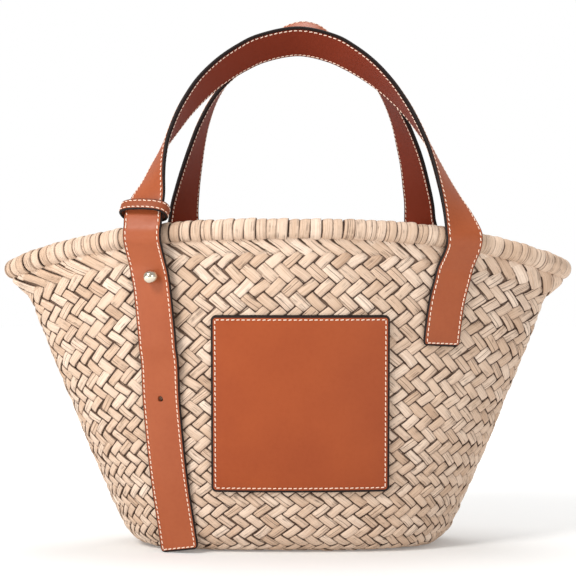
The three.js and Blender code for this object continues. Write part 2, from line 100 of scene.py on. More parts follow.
# A smooth curve through the rows of a table: cubic between two rows, with the slopes there taken
# from the neighbouring rows.
def smoothTable(knots, rows, at):
    slopes = np.gradient(rows, knots, axis=0)
    i = np.clip(np.searchsorted(knots, at, side="right") - 1, 0, len(knots) - 2)
    width = (knots[i + 1] - knots[i])[..., None]
    t = ((at - knots[i]) / (knots[i + 1] - knots[i]))[..., None]
    start, end = rows[i], rows[i + 1]
    leave, arrive = slopes[i] * width, slopes[i + 1] * width
    return (
        start * (2 * t**3 - 3 * t**2 + 1)
        + leave * (t**3 - 2 * t**2 + t)
        + end * (3 * t**2 - 2 * t**3)
        + arrive * (t**3 - t**2)
    )


# Meshes

# Index rows of the quads of a grid, counted along its second side. Either side may close on itself.
def gridQuads(rows, columns, closeRows=False, closeColumns=False):
    i = np.arange(rows if closeRows else rows - 1)[:, None]
    k = np.arange(columns if closeColumns else columns - 1)[None, :]
    nextI, nextK = (i + 1) % rows, (k + 1) % columns
    corners = (i * columns + k, i * columns + nextK, nextI * columns + nextK, nextI * columns + k)
    return np.stack(np.broadcast_arrays(*corners), axis=-1).reshape(-1, 4)


# Repeats one part's faces for many parts whose points follow each other.
def repeatFaces(faces, pointsEach, count):
    return (faces[None] + (np.arange(count) * pointsEach)[:, None, None]).reshape(-1, faces.shape[1])


# Faces and end caps of many tubes whose rings of points follow each other.
def tubeFaces(count, rings, size, flipped=False):
    faces = repeatFaces(gridQuads(rings, size, closeColumns=True), rings * size, count)
    first = np.arange(count)[:, None] * rings * size + np.arange(size)
    last = first + (rings - 1) * size
    caps = np.concatenate([first[:, ::-1], last])
    if flipped:
        faces, caps = faces[:, ::-1], caps[:, ::-1]
    return faces, caps.tolist()


# Makes an object from points and faces, with a UV place and any number of named values per point.
def makeObject(name, points, faces, material, uv=None, values=None, caps=(), smooth=True):
    points = np.asarray(points, dtype=float).reshape(-1, 3)
    mesh = bpy.data.meshes.new(name)
    mesh.from_pydata(points.tolist(), [], faces.tolist() + [list(cap) for cap in caps])
    mesh.polygons.foreach_set("use_smooth", np.full(len(mesh.polygons), smooth))
    corner = np.empty(len(mesh.loops), dtype=np.int32)
    mesh.loops.foreach_get("vertex_index", corner)
    if uv is not None:
        layer = mesh.uv_layers.new(name="surface")
        layer.data.foreach_set("uv", np.asarray(uv, dtype=float).reshape(-1, 2)[corner].ravel())
    for key, value in (values or {}).items():
        attribute = mesh.attributes.new(key, "FLOAT", "POINT")
        attribute.data.foreach_set("value", np.asarray(value, dtype=float).ravel())
    mesh.materials.append(material)
    piece = bpy.data.objects.new(name, mesh)
    bpy.context.scene.collection.objects.link(piece)
    return piece


# An object that is part of the bag.
def makePiece(name, points, faces, material, uv=None, values=None, caps=()):
    piece = makeObject(name, points, faces, material, uv, values, caps)
    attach(piece, "root")
    return piece


# Materials

# A shader socket that takes part in Python arithmetic: each operation adds its Math node.
class Value:
    def __init__(self, finish, socket):
        self.finish, self.socket = finish, socket

    def math(self, operation, *others):
        inputs = dict(enumerate((self, *others)))
        return self.finish.node("ShaderNodeMath", {"operation": operation}, inputs)

    def __add__(self, other):
        return self.math("ADD", other)

    def __mul__(self, other):
        return self.math("MULTIPLY", other)

    def __sub__(self, other):
        return self.math("SUBTRACT", other)

    __radd__ = __add__

    # 0 below low, 1 above high, smooth between.
    def ramp(self, low, high):
        inputs = {"Value": self, "From Min": low, "From Max": high}
        return self.finish.node("ShaderNodeMapRange", {"interpolation_type": "SMOOTHSTEP"}, inputs)


# A material under construction, with its surface shader ready.
class Finish:
    def __init__(self, name):
        self.material = bpy.data.materials.new(name)
        self.material.use_nodes = True
        self.tree = self.material.node_tree
        self.shader = self.tree.nodes["Principled BSDF"]

    def plug(self, socket, value):
        if isinstance(value, Value):
            self.tree.links.new(value.socket, socket)
        elif value is not None:
            socket.default_value = value

    def node(self, kind, settings=None, inputs=None, output=0):
        node = self.tree.nodes.new(kind)
        for key, value in (settings or {}).items():
            if key == "stops":
                stops = node.color_ramp.elements
                for index, (place, colour) in enumerate(value):
                    stop = stops[index] if index < 2 else stops.new(place)
                    stop.position, stop.color = place, (*colour, 1)
            else:
                setattr(node, key, value)
        for key, value in (inputs or {}).items():
            self.plug(node.inputs[key], value)
        return Value(self, node.outputs[output])

    def attribute(self, name):
        return self.node("ShaderNodeAttribute", {"attribute_name": name}, output="Fac")

    def mix(self, factor, a, b, blend="MIX"):
        asColour = lambda c: c if isinstance(c, Value) else (*c, 1)
        settings = {"data_type": "RGBA", "blend_type": blend}
        return self.node("ShaderNodeMix", settings, {0: factor, 6: asColour(a), 7: asColour(b)}, output=2)

    def noise(self, vector, scale, detail=3.0, roughness=0.5):
        inputs = {"Vector": vector, "Scale": scale, "Detail": detail, "Roughness": roughness}
        return self.node("ShaderNodeTexNoise", {}, inputs)

    def stretched(self, vector, scale):
        return self.node("ShaderNodeMapping", {}, {"Vector": vector, "Scale": scale})

    def bump(self, height, strength, distance):
        return self.node("ShaderNodeBump", {}, {"Height": height, "Strength": strength, "Distance": distance})

    def surface(self, **sockets):
        for key, value in sockets.items():
            self.plug(self.shader.inputs[key.replace("_", " ")], value)
        return self.material


# sRGB numbers from 0 to 255 as a linear colour.
def colour(red, green, blue):
    channels = np.array([red, green, blue]) / 255
    return tuple(np.where(channels <= 0.04045, channels / 12.92, ((channels + 0.055) / 1.055) ** 2.4))


strawLook = {
    "pale": colour(231, 210, 191),
    "middle": colour(204, 176, 152),
    "tan": colour(177, 146, 121),
    "streak": colour(152, 115, 89),
    "shade": colour(50, 19, 10),
    # how often each noise repeats across and along a strip
    "fibreScale": (2100.0, 34.0, 1),
    "foldScale": (620.0, 12.0, 1),
    "patchScale": (70.0, 60.0, 1),
    "unevenScale": (90.0, 160.0, 1),
}


# Dry palm leaf: long fibres along each strip, a tint for every float, fine creases where a stretched
# noise crosses its middle, and a split lengthwise in some strips. Painted shade darkens the creases and
# the splits. The edge that lies under the neighbour gets a painted shadow line of uneven width, and the
# other edge a faint one. Painted shade also darkens the leaf where it dives under other strips.
def palmLeaf(name, edgeShadeRamp, otherEdgeShade):
    f = Finish(name)
    uv = f.node("ShaderNodeUVMap", {"uv_map": "surface"})
    tint, paintedShade, across, split = (f.attribute(key) for key in ("tint", "paintedShade", "across", "split"))
    fibres = f.noise(f.stretched(uv, strawLook["fibreScale"]), 1.0, 3.0, 0.6)
    folds = f.noise(f.stretched(uv, strawLook["foldScale"]), 1.0, 2.0, 0.5)
    patches = f.noise(f.stretched(uv, strawLook["patchScale"]), 1.0, 3.0, 0.6)
    uneven = f.noise(f.stretched(uv, strawLook["unevenScale"]), 1.0, 2.0, 0.5)
    tone = tint * 0.7 + patches * 0.4 + folds * 0.25 - 0.17
    straw = f.node("ShaderNodeValToRGB", {"stops": [
        (0.12, strawLook["tan"]), (0.8, strawLook["pale"]), (0.45, strawLook["middle"]),
    ]}, {"Fac": tone})
    streaks = fibres.ramp(0.46, 0.7) * 0.45 + folds.ramp(0.56, 0.7) * 0.3
    streaked = f.mix(streaks, straw, strawLook["streak"])
    # painted shadow lines of uneven width along a strip's edges, strong on the edge under the neighbour
    width = uneven * 0.24 - 0.12
    under, over = (width - across).ramp(*edgeShadeRamp), (width + across).ramp(*edgeShadeRamp)
    edge = under.math("MAXIMUM", over * otherEdgeShade)
    # painted shade in the splits and the creases
    crack = (across - split).math("ABSOLUTE").ramp(0.08, 0.02)
    crease = (folds - 0.5).math("ABSOLUTE").ramp(0.022, 0.004) * uneven.ramp(0.42, 0.62)
    lines = (edge * 0.92).math("MAXIMUM", crack * 0.8).math("MAXIMUM", crease * 0.6)
    # painted shade: darker where the strip dives and in the lines, mixed towards the shade colour
    dark = (paintedShade.ramp(0.3, 0.75) * 0.94).math("MAXIMUM", lines)
    leaf = f.mix(dark, streaked, strawLook["shade"])
    height = fibres * 0.5 + folds * 0.9 - crack * 0.8 - crease * 0.5
    return f.surface(
        Base_Color=leaf, Roughness=0.6 + fibres * 0.18, Normal=f.bump(height, 0.6, 0.0004),
        Specular_IOR_Level=0.3,
    )


leatherLook = {
    "paint": colour(24, 12, 9),
    # painted shade of the straps' inner faces
    "paintedInnerShade": colour(117, 39, 13),
    "cloudScale": 28.0,
    "speckleScale": 420.0,
    "grainScale": 1500.0,
}


# Smooth tan leather: slow changes of tone, a fine grain, dark paint where the edge value is 1, and painted
# shade on the inner faces: a darker brown where the inside value is 1.
def tanLeather(name, tan, deep, sheen):
    f = Finish(name)
    place = f.node("ShaderNodeTexCoord", output="Object")
    cloudy = f.noise(place, leatherLook["cloudScale"], 4.0, 0.55)
    speckle = f.noise(place, leatherLook["speckleScale"], 2.0, 0.5)
    cells = {"Vector": place, "Scale": leatherLook["grainScale"]}
    grain = f.node("ShaderNodeTexVoronoi", {"feature": "SMOOTH_F1"}, cells)
    paint, inside = f.attribute("edge").ramp(0.35, 0.65), f.attribute("inside")
    face = f.mix(cloudy.ramp(0.3, 0.7) * 0.6 + speckle.ramp(0.4, 0.75) * 0.2, tan, deep)
    # painted shade: the inner faces take a darker brown
    withInnerShade = f.mix(inside, face, leatherLook["paintedInnerShade"])
    skin = f.mix(paint, withInnerShade, leatherLook["paint"])
    height = grain * 0.6 + speckle * 0.5 + cloudy * 0.4
    return f.surface(
        Base_Color=skin, Roughness=sheen + speckle * 0.12 + grain * 0.06 + inside * 0.3 + paint * 0.25,
        Normal=f.bump(height, 0.22, 0.00025), Specular_IOR_Level=0.3,
    )


# Waxed cotton thread with a hint of pink from the leather.
def waxedThread(name):
    f = Finish(name)
    place = f.node("ShaderNodeTexCoord", output="Object")
    fuzz = f.noise(place, 900.0, 2.0, 0.5)
    body = f.mix(fuzz, colour(228, 196, 174), colour(244, 222, 204))
    return f.surface(Base_Color=body, Roughness=0.7, Normal=f.bump(fuzz, 0.3, 0.0001))


# Polished pale metal with faint wear.
def polishedMetal(name):
    f = Finish(name)
    place = f.node("ShaderNodeTexCoord", output="Object")
    wear = f.noise(place, 700.0, 3.0, 0.6)
    tone = f.mix(wear, colour(232, 222, 204), colour(205, 194, 176))
    return f.surface(Base_Color=tone, Metallic=1.0, Roughness=0.1 + wear * 0.12)


# the last two numbers set the painted shadow lines at the edges of strips and bands
leafWall = palmLeaf("palm leaf of the wall", (0.83, 0.94), 0.6)
leafRim = palmLeaf("palm leaf of the rim", (0.78, 0.9), 0.4)
strapLeather = tanLeather("tan strap leather", colour(157, 80, 44), colour(145, 69, 35), 0.34)
patchLeather = tanLeather("tan patch leather", colour(153, 69, 25), colour(142, 60, 19), 0.36)
thread = waxedThread("cream thread")
studMetal = polishedMetal("polished stud metal")
print("materials ready")

# Woven wall

weave = {
    "strips": 72,  # in each direction, round the bag
    "rowHeight": (0.0056, 0.0086),  # half of the pattern's repeat, at the foot and at the top
    "frontSpacing": (0.0082, 0.0093),  # between strips at the front's middle, at the foot and the top
    "halfWidth": 0.497,  # of a strip, as a share of the spacing
    "thickness": 0.0011,
    "lift": 0.00088,  # a strip's middle above and below the wall's middle
    "shingle": 0.00022,  # one edge of a strip up, the other down, so that neighbours overlap
    "sharpness": 0.34,  # smaller makes a strip dive more steeply
    "intoRim": 0.0045,
    "topRow": 0.0105,  # below the rim the strips that lean left all lie over the others
    # how far along its four-crossing repeat each ring of a strip stands
    "stations": np.array([0.0, 0.17, 0.42, 0.8, 1.2, 1.6, 1.86, 2.0, 2.17, 2.42, 2.8, 3.2, 3.6, 3.86]),
    # across a strip, and height as a share of its thickness
    "acrossStrip": np.array([-0.98, -0.62, -0.05, 0.6, 0.98, 0.9, 0.0, -0.9]),
    "stripHeight": np.array([0.16, 0.5, 0.56, 0.5, 0.16, -0.4, -0.5, -0.4]),
    "strayWidth": (0.05, 0.06, 0.05),  # of a strip, slowly along it, and of each float
    "strayPlace": (0.08, 0.03, 0.035),  # slowly along a strip, of each float, and its turn
    "strayTilt": 0.00016,
    "strayHeight": 0.00014,
    "strayTint": (0.07, 0.11),  # of a strip and of each float
    "grainSize": (0.0029, 0.0059),  # the leaf pattern over half a strip's width and over one crossing
    "grainShift": (0.011, 0.37),  # of the leaf pattern from one strip to the next
}
noSplit = 5.0  # as a split's place it lies off the strip
footRows = np.array([
    (0.0105, 0.33, 0.40, 0.0, -0.42),
    (0.0105, 0.41, 0.50, 0.0, -0.42),
    (0.0118, 0.485, 0.585, 0.0, -0.42),
    (0.0240, 0.540, 0.662, 0.02, -0.41),
])
wallRows = np.concatenate([footRows, bag["sections"][2:]])


# The wall's profile by length along it: how far each row is from the innermost one, measured over
# the front and the ends together.
def profileLengths(rows):
    across = np.stack([bag["mouthHalfWidth"] * rows[:, 1], bag["mouthHalfDepth"] * rows[:, 2]])
    height = bag["wallHeight"] * rows[:, 0]
    steps = np.sqrt(np.diff(across, axis=1) ** 2 + np.diff(height) ** 2).mean(axis=0)
    return np.concatenate([[0.0], np.cumsum(steps)])


wallReach = profileLengths(wallRows)
wallLength = wallReach[-1]


# The wall's middle surface by angle and by length up its profile.
def wallSurface(angle, reach):
    inside = np.clip(reach, 0, wallLength)
    row = smoothTable(wallReach, wallRows, inside)
    point = wallPoint(angle, row)
    point[..., 2] += reach - inside
    return point


# Strips are evenly counted round each quarter of the bag, not evenly spaced: their count grows as
# c s + (1 - c) s cubed with the share s of the quarter's length, with c set by the front spacing.
def angleTable(levels=48, fine=241, shares=121):
    reach = np.linspace(0, wallLength, levels)
    angle = np.linspace(-math.pi / 2, 0, fine)
    line = wallSurface(angle[None, :], reach[:, None])
    steps = np.linalg.norm(np.diff(line, axis=1), axis=-1)
    length = np.concatenate([np.zeros((levels, 1)), np.cumsum(steps, axis=1)], axis=1)
    share = length / length[:, -1:]
    spacing = np.interp(reach, [0, wallLength], weave["frontSpacing"])
    c = np.clip(length[:, -1] / (spacing * weave["strips"] / 4), 0.6, 1.35)[:, None]
    count = c * share + (1 - c) * share**3
    wanted = np.linspace(0, 1, shares)
    return np.array([np.interp(wanted, row, angle) for row in count])


stripAngles = angleTable()
rowCount = 2 * wallLength / sum(weave["rowHeight"])
rowGrowth = (weave["rowHeight"][1] - weave["rowHeight"][0]) / rowCount


# Length up the wall for a count of rows, whose height grows evenly from row to row, and its inverse.
def reachAtRow(rows):
    return weave["rowHeight"][0] * rows + rowGrowth * rows**2 / 2


def rowAtReach(reach):
    low = weave["rowHeight"][0]
    return (math.sqrt(low**2 + 2 * rowGrowth * reach) - low) / rowGrowth


# Angle round the bag for a place counted in strips, looked up between the table's rows and columns.
# Strip 0 is at the front's middle and the count grows to the right.
def angleAt(strip, reach):
    quarter = weave["strips"] / 4
    around = np.mod(strip + quarter, 4 * quarter) - quarter
    behind = around > quarter
    fromMiddle = np.where(behind, around - 2 * quarter, around)
    levels, shares = stripAngles.shape
    i = np.clip(reach / wallLength, 0, 1) * (levels - 1)
    k = np.clip(np.abs(fromMiddle) / quarter, 0, 1) * (shares - 1)
    i0, k0 = np.minimum(i.astype(int), levels - 2), np.minimum(k.astype(int), shares - 2)
    partI, partK = i - i0, k - k0
    looked = (
        stripAngles[i0, k0] * (1 - partI) * (1 - partK)
        + stripAngles[i0 + 1, k0] * partI * (1 - partK)
        + stripAngles[i0, k0 + 1] * (1 - partI) * partK
        + stripAngles[i0 + 1, k0 + 1] * partI * partK
    )
    turned = np.sign(fromMiddle) * (looked + math.pi / 2)
    return np.where(behind, math.pi / 2, -math.pi / 2) + turned


# The palm leaf's values for every point of a piece, each given as anything that spreads to its shape.
def leafValues(shape, tint, paintedShade, across, split):
    given = {"tint": tint, "paintedShade": paintedShade, "across": across, "split": split}
    return {key: np.broadcast_to(value, shape) for key, value in given.items()}


# Places on the leaf pattern: how far a point is across and along its strip times the grain's size,
# shifted by the strip's number.
def grainPlaces(shape, across, along, number, size, shift):
    places = (part * size[k] + number * shift[k] for k, part in enumerate((across, along)))
    return np.stack([np.broadcast_to(place, shape) for place in places], axis=-1)


# A point of the woven wall: counted in strips round it and rows up it, and raised along the normal,
# but never below the floor.
def wovenPoint(strip, rowsUp, raised):
    reach = reachAtRow(rowsUp)
    angle = angleAt(strip, reach)
    point = wallSurface(angle, reach)
    nudge = 0.0008
    alongAngle = wallSurface(angle + nudge, reach) - wallSurface(angle - nudge, reach)
    inner = np.clip(reach, nudge, wallLength - nudge)
    upWall = wallSurface(angle, inner + nudge) - wallSurface(angle, inner - nudge)
    normal = unit(np.cross(alongAngle, upWall))
    point = point + normal * raised[..., None]
    point[..., 2] = np.maximum(point[..., 2], 0.0001)
    return point


# One wave along a strip, flat on top and underneath, with steep sides: +1 over, -1 under.
def overUnder(phase):
    wave = np.cos(math.pi / 2 * (phase - 0.5))
    k = weave["sharpness"]
    return wave / np.sqrt(wave**2 + k**2) * math.sqrt(1 + k**2)


# Slow wandering of each strip: a sum of two sines along it with its own phases.
def wander(phase, count, size):
    turns = random.uniform(0, 2 * math.pi, (2, count, 1))
    slow, quick = np.sin(0.55 * phase + turns[0]), np.sin(1.9 * phase + turns[1])
    return size * (0.6 * slow + 0.4 * quick)


# A family of strips. A strip that leans right keeps its strip count less its row, and one that leans
# left keeps their sum. Each ring crosses its strip along the direction of the other family.
def stripFamily(name, first, count, leansRight):
    rows = rowAtReach(wallLength + weave["intoRim"])
    repeats = int(math.ceil(2 * rows / 4)) + 1
    phase = (weave["stations"][None, :] - 0.5 + 4 * np.arange(repeats)[:, None]).ravel()
    phase = phase[(phase > 0.4) & (phase < 2 * rows - 0.4)]
    phase = np.concatenate([[0.4], phase, [2 * rows - 0.4]])[None, :]
    own = first + np.arange(count)[:, None]
    floatIndex = np.repeat(np.floor((phase + 0.5) / 2).astype(int), count, axis=0)

    # one random number for each float of each strip, spread over the float's rings
    def perFloat(size):
        return np.take_along_axis(random.normal(0, size, (count, floatIndex.max() + 1)), floatIndex, 1)

    ownWidth, slowWidth, floatWidth = weave["strayWidth"]
    slowPlace, floatPlace, floatTurn = weave["strayPlace"]
    ownTint, floatTint = weave["strayTint"]
    width = weave["halfWidth"] * random.normal(1.0, ownWidth, (count, 1))
    width = width * (1 + wander(phase, count, slowWidth) + perFloat(floatWidth))
    throughFloat = np.mod(phase + 0.5, 2) - 1
    drift = wander(phase, count, slowPlace) + perFloat(floatPlace) + perFloat(floatTurn) * throughFloat
    tilt = weave["shingle"] + wander(phase * 1.7, count, weave["strayTilt"])
    tint = np.clip(0.56 + random.normal(0, ownTint, (count, 1)) + perFloat(floatTint), 0, 1)
    side = 1 if leansRight else -1
    topStart = rowAtReach(wallLength - weave["topRow"])
    atTop = np.clip((phase / 2 - topStart) / 0.35, 0, 1)
    wave = side * (overUnder(phase) * (1 - atTop) - atTop)
    raised = weave["lift"] * wave + perFloat(weave["strayHeight"])

    x, h = weave["acrossStrip"], weave["stripHeight"]
    offset = own[..., None] + drift[..., None] + width[..., None] * x
    along = phase[..., None]
    otherwise = own[..., None] + side * along
    strip, rowsUp = (otherwise + offset) / 2, side * (otherwise - offset) / 2
    height = raised[..., None] + weave["thickness"] * h + tilt[..., None] * x
    points = wovenPoint(strip, rowsUp, height)

    shape = height.shape
    faces, caps = tubeFaces(count, phase.shape[1], len(x), flipped=not leansRight)
    uv = grainPlaces(shape, x, along, own[..., None], weave["grainSize"], weave["grainShift"])
    # painted shade: darker where the strip dives under the other family, and towards both its edges
    paintedShade = np.clip((0.35 - np.abs(wave)) / 0.7 + 0.35, 0, 1)[..., None] + 0.25 * np.abs(x) ** 4
    split = np.where(perFloat(1.0) > 0.55, np.clip(perFloat(0.3), -0.6, 0.6), noSplit)[..., None]
    values = leafValues(shape, tint[..., None], paintedShade, x, split)
    piece = makePiece(name, points, faces, leafWall, uv, values, caps)
    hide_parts("basket_body")


half = weave["strips"] // 2
for leansRight, label in ((True, "right"), (False, "left")):
    stripFamily(f"strips_leaning_{label}_1", 0, half, leansRight)
    stripFamily(f"strips_leaning_{label}_2", half, half, leansRight)


# A thin sheet inside the weave, so that no light comes through where four strips meet. It is swept
# round the bag as one closed outline: up its outer face and down its inner one.
def leafSheet(name, points):
    shape = points.shape[:-1]
    faces = gridQuads(*shape, closeRows=True, closeColumns=True)
    # painted shade: the sheet is coloured mostly in the leaf's shade colour, dark where it shows between
    # strips
    values = leafValues(shape, 0.2, 0.6, 0.0, noSplit)
    piece = makePiece(name, points, faces, leafWall, points[..., :2], values)
    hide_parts("basket_body")


# The wall's sheet follows the middle of the weave from the foot into the rim.
def wallSheet():
    up = np.linspace(0, rowAtReach(wallLength + weave["intoRim"]), 56)
    strip = np.arange(0, weave["strips"], 0.5)
    rows = np.concatenate([up, up[::-1]])[:, None] + 0 * strip
    raised = np.repeat([0.00005, -0.00005], len(up))[:, None] + 0 * strip
    leafSheet("wall_sheet", wovenPoint(strip[None, :] + 0 * rows, rows, raised))


wallSheet()
print("woven wall: rows", round(rowCount, 1))

# Woven floor

floorWeave = {
    "halfLength": 0.0775,
    "halfDepth": 0.0385,
    "spacing": 0.0062,
    "halfWidth": 0.0029,
    "thickness": 0.0009,
    "lift": 0.0006,
    "height": 0.0021,
    "angle": math.radians(40),
    "grainSize": (0.0029, 1.0),
    "grainShift": (0.013, 0.0),
}


# Straight strips over the floor, each cut where it meets the floor's rounded outline, crossing the
# other family two over and two under.
def floorStrips(name, sign):
    s = floorWeave
    angle = sign * s["angle"]
    along = np.array([math.cos(angle), math.sin(angle)])
    aside = np.array([-math.sin(angle), math.cos(angle)])
    otherAside = np.array([math.sin(angle), math.cos(angle)])
    count = 2 * int((s["halfLength"] + s["halfDepth"]) / s["spacing"]) + 1
    index = np.arange(count) - count // 2
    place = index * s["spacing"]
    # where the line aside * place + along * t crosses the ellipse: a quadratic in t
    radii = np.array([s["halfLength"], s["halfDepth"]])
    a = ((along / radii) ** 2).sum()
    b = 2 * place * (along * aside / radii**2).sum()
    c = place**2 * ((aside / radii) ** 2).sum() - 1
    crosses = b * b - 4 * a * c > 1e-9
    index, place, b, c = index[crosses], place[crosses], b[crosses], c[crosses]
    root = np.sqrt(b * b - 4 * a * c)
    low, high = (-b - root) / (2 * a), (-b + root) / (2 * a)
    rings = 61
    t = low[:, None] + (high - low)[:, None] * np.linspace(0, 1, rings)
    centre = place[:, None, None] * aside + t[..., None] * along
    wave = sign * overUnder((centre @ otherAside) / s["spacing"] - sign * index[:, None])
    x, h = weave["acrossStrip"], weave["stripHeight"]
    level = centre[:, :, None, :] + (x * s["halfWidth"])[None, None, :, None] * aside
    z = s["height"] + s["lift"] * wave[..., None] + s["thickness"] * h
    points = np.concatenate([level, z[..., None]], axis=-1)
    shape = points.shape[:-1]
    faces, caps = tubeFaces(len(place), rings, len(x), flipped=True)
    tint = random.uniform(0.3, 0.75, (len(place), 1, 1))
    uv = grainPlaces(shape, x, t[..., None], index[:, None, None], s["grainSize"], s["grainShift"])
    # painted shade: darker where the strip dives under the other family
    paintedShade = np.clip(0.4 - np.abs(wave), 0, 1)[..., None]
    piece = makePiece(name, points, faces, leafWall, uv, leafValues(shape, tint, paintedShade, x, noSplit), caps)
    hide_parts("basket_body")


# The floor's sheet: a flat ellipse, carried in from its edge to near its middle and back.
def floorSheet():
    s = floorWeave
    share = np.array([1.0, 0.6, 0.001, 0.001, 0.6, 1.0])[:, None]
    z = s["height"] + np.array([-1, -1, -1, 1, 1, 1])[:, None] * 0.00005
    angle = -np.linspace(0, 2 * math.pi, 72, endpoint=False)[None, :]
    x, y = 0.95 * s["halfLength"] * share * np.cos(angle), 0.95 * s["halfDepth"] * share * np.sin(angle)
    leafSheet("floor_sheet", np.stack(np.broadcast_arrays(x, y, z), axis=-1))


floorSheet()
floorStrips("floor_strips_1", 1)
floorStrips("floor_strips_2", -1)
print("woven floor ready")

# Wound rim

rimWinding = {
    "pitch": 0.0061,
    "bandShare": 1.03,  # a band's width against the pitch, so that neighbours overlap
    "radius": 0.0053,  # to a band's middle layer
    "thickness": 0.0007,
    "crown": 0.00045,
    "overlapTilt": 0.00032,  # one edge of each band lies on its neighbour
    "coreRadius": 0.0045,
    "aroundSteps": 30,
    "grainSize": (0.0032, 0.006),
    "grainShift": (0.013, 0.31),
    "acrossBand": np.array([-1, -0.8, -0.35, 0.1, 0.5, 0.82, 1.0]),
}


# Frames along the rim's centre line, by length: centre, along, outward and upward.
def rimFrames(places):
    fine = np.linspace(0, 2 * math.pi, 2881)
    line = rimPoint(fine)
    length = np.concatenate([[0], np.cumsum(np.linalg.norm(np.diff(line, axis=0), axis=1))])
    angle = np.interp(np.mod(places, length[-1]), length, fine)
    along = unit(rimPoint(angle + 1e-4) - rimPoint(angle - 1e-4))
    outward = unit(np.cross(along, np.array([0, 0, 1.0])))
    return rimPoint(angle), along, outward, np.cross(outward, along), length[-1]


# Each winding is a band carried once round the roll. It moves along the rim by one pitch as it goes,
# and its two ends dip into the roll on the inside. Its face is crowned and slightly tipped.
def woundBands():
    s = rimWinding
    total = rimFrames(np.array([0.0]))[4]
    count = int(round(total / s["pitch"]))
    pitch = total / count
    jitter = random.uniform(-0.07, 0.07, count) * pitch
    middle = (np.arange(count) * pitch + jitter)[:, None]
    width = (random.normal(1.0, 0.05, count) * pitch * s["bandShare"] / 2)[:, None]
    lean = random.normal(0.3, 0.13, count)[:, None]
    swell = random.normal(0, 0.00022, count)[:, None]
    turn = np.linspace(0, 2 * math.pi, s["aroundSteps"] + 1)[None, :]
    start = math.radians(205)
    x = s["acrossBand"]
    profileX = np.concatenate([x, x[::-1]])
    inner = np.concatenate([np.ones_like(x), -np.ones_like(x)])
    drift = lean * pitch * (turn / (2 * math.pi) - 0.5)
    dip = 0.0016 * (np.exp(-turn / 0.16) + np.exp(-(2 * math.pi - turn) / 0.16))
    radius = s["radius"] + swell - dip
    band = radius[..., None] + inner * s["thickness"] / 2
    band = band + s["crown"] * (1 - profileX**2) + s["overlapTilt"] * profileX
    places = (middle + drift)[..., None] + width[..., None] * profileX
    centre, along, outward, upward, _ = rimFrames(places)
    spin = (start + turn)[..., None, None]
    points = centre + band[..., None] * (np.cos(spin) * outward + np.sin(spin) * upward)
    shape = points.shape[:-1]
    faces, caps = tubeFaces(count, turn.shape[1], len(profileX))
    number = np.arange(count)[:, None, None]
    uv = grainPlaces(shape, profileX, turn[..., None], number, s["grainSize"], s["grainShift"])
    tint = np.clip(random.normal(0.5, 0.1, (count, 1, 1)), 0, 1)
    cracks = np.where(random.uniform(0, 1, count) < 0.3, random.uniform(-0.5, 0.5, count), noSplit)
    # painted shadow lines along both edges of each band give dark seams between the bands
    values = leafValues(shape, tint, 0.0, profileX, cracks[:, None, None])
    piece = makePiece("rim_windings", points, faces, leafRim, uv, values, caps)
    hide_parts("wound_rim")


# The roll inside the windings: a plain circle carried along the rim.
def rimCore():
    steps, sides = 240, 12
    total = rimFrames(np.array([0.0]))[4]
    centre, along, outward, upward, _ = rimFrames(np.linspace(0, total, steps, endpoint=False)[:, None])
    spin = np.linspace(0, 2 * math.pi, sides, endpoint=False)[None, :, None]
    points = centre + rimWinding["coreRadius"] * (np.cos(spin) * outward + np.sin(spin) * upward)
    faces = gridQuads(steps, sides, closeRows=True, closeColumns=True)
    # painted shade: the core is coloured almost wholly in the leaf's shade colour, dark between the bands
    values = leafValues(points.shape[:-1], 0.2, 0.9, 0.0, noSplit)
    piece = makePiece("rim_core", points, faces, leafRim, points[..., :2], values)
    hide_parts("wound_rim")


woundBands()
rimCore()
print("wound rim ready")

# Strap paths

straps = {
    "width": 0.023,
    "thickness": 0.0026,
    "weaveGap": 0.0006,
    "leatherGap": 0.0005,
    "rimRoom": 0.0005,
    "tabFoot": 0.119,
    "tabLap": 0.02,
    "centre": 0.008,
    "crestDepth": 0.01,
    "endClearance": 0.0012,
    "wrapAngles": (-42, -14, 12, 27),
    # rise as a share of the wall's height, and how far out the left and the right leg are
    "legs": np.array([
        (0.08, 0.786, 0.76), (0.25, 0.834, 0.8), (0.49, 0.879, 0.842), (0.62, 0.882, 0.863),
        (0.7, 0.893, 0.877), (0.8, 0.911, 0.903), (0.87, 0.926, 0.936), (0.925, 0.947, 0.966),
    ]),
}
frontHandle = {
    "halfSpan": 0.0907, "rise": 0.1133, "rimOut": (0.957, 0.985),
    # rise, out, shift, turn of the left and the right leg in degrees
    "rows": np.array([
        (0.08, 0.988, -0.003, 22, 46), (0.16, 0.958, -0.01, 37, 60), (0.25, 0.923, -0.018, 59, 70.5),
        (0.35, 0.884, -0.026, 74, 78.5), (0.45, 0.837, -0.03, 86.5, 84.5), (0.55, 0.774, -0.032, 97, 91),
        (0.65, 0.698, -0.034, 105, 97.5), (0.75, 0.6, -0.037, 113.5, 106.5),
        (0.84, 0.481, -0.036, 120.5, 115.5), (0.91, 0.356, -0.034, 125, 122.5),
        (0.96, 0.235, -0.031, 128, 127.5), (1.0, 0.0, -0.02, 129.5, 129.5),
    ]),
}
backHandle = {
    "halfSpan": 0.076, "rise": 0.122, "rimOut": (0.965, 0.975),
    "rows": np.array([
        (0.08, 0.985, 0.006, 42, 39), (0.16, 0.972, 0.007, 49, 45), (0.25, 0.945, 0.008, 58, 51),
        (0.35, 0.909, 0.01, 66, 58), (0.45, 0.864, 0.008, 74, 64), (0.55, 0.81, 0.006, 81, 72),
        (0.65, 0.736, 0.004, 88, 79), (0.72, 0.664, 0.004, 93, 85), (0.79, 0.567, 0.007, 99, 92),
        (0.86, 0.447, 0.008, 106, 101), (0.92, 0.31, 0.01, 114, 111), (0.965, 0.17, 0.012, 122, 121),
        (0.99, 0.085, 0.017, 125, 125), (1.0, 0.0, 0.02, 126, 126),
    ]),
}


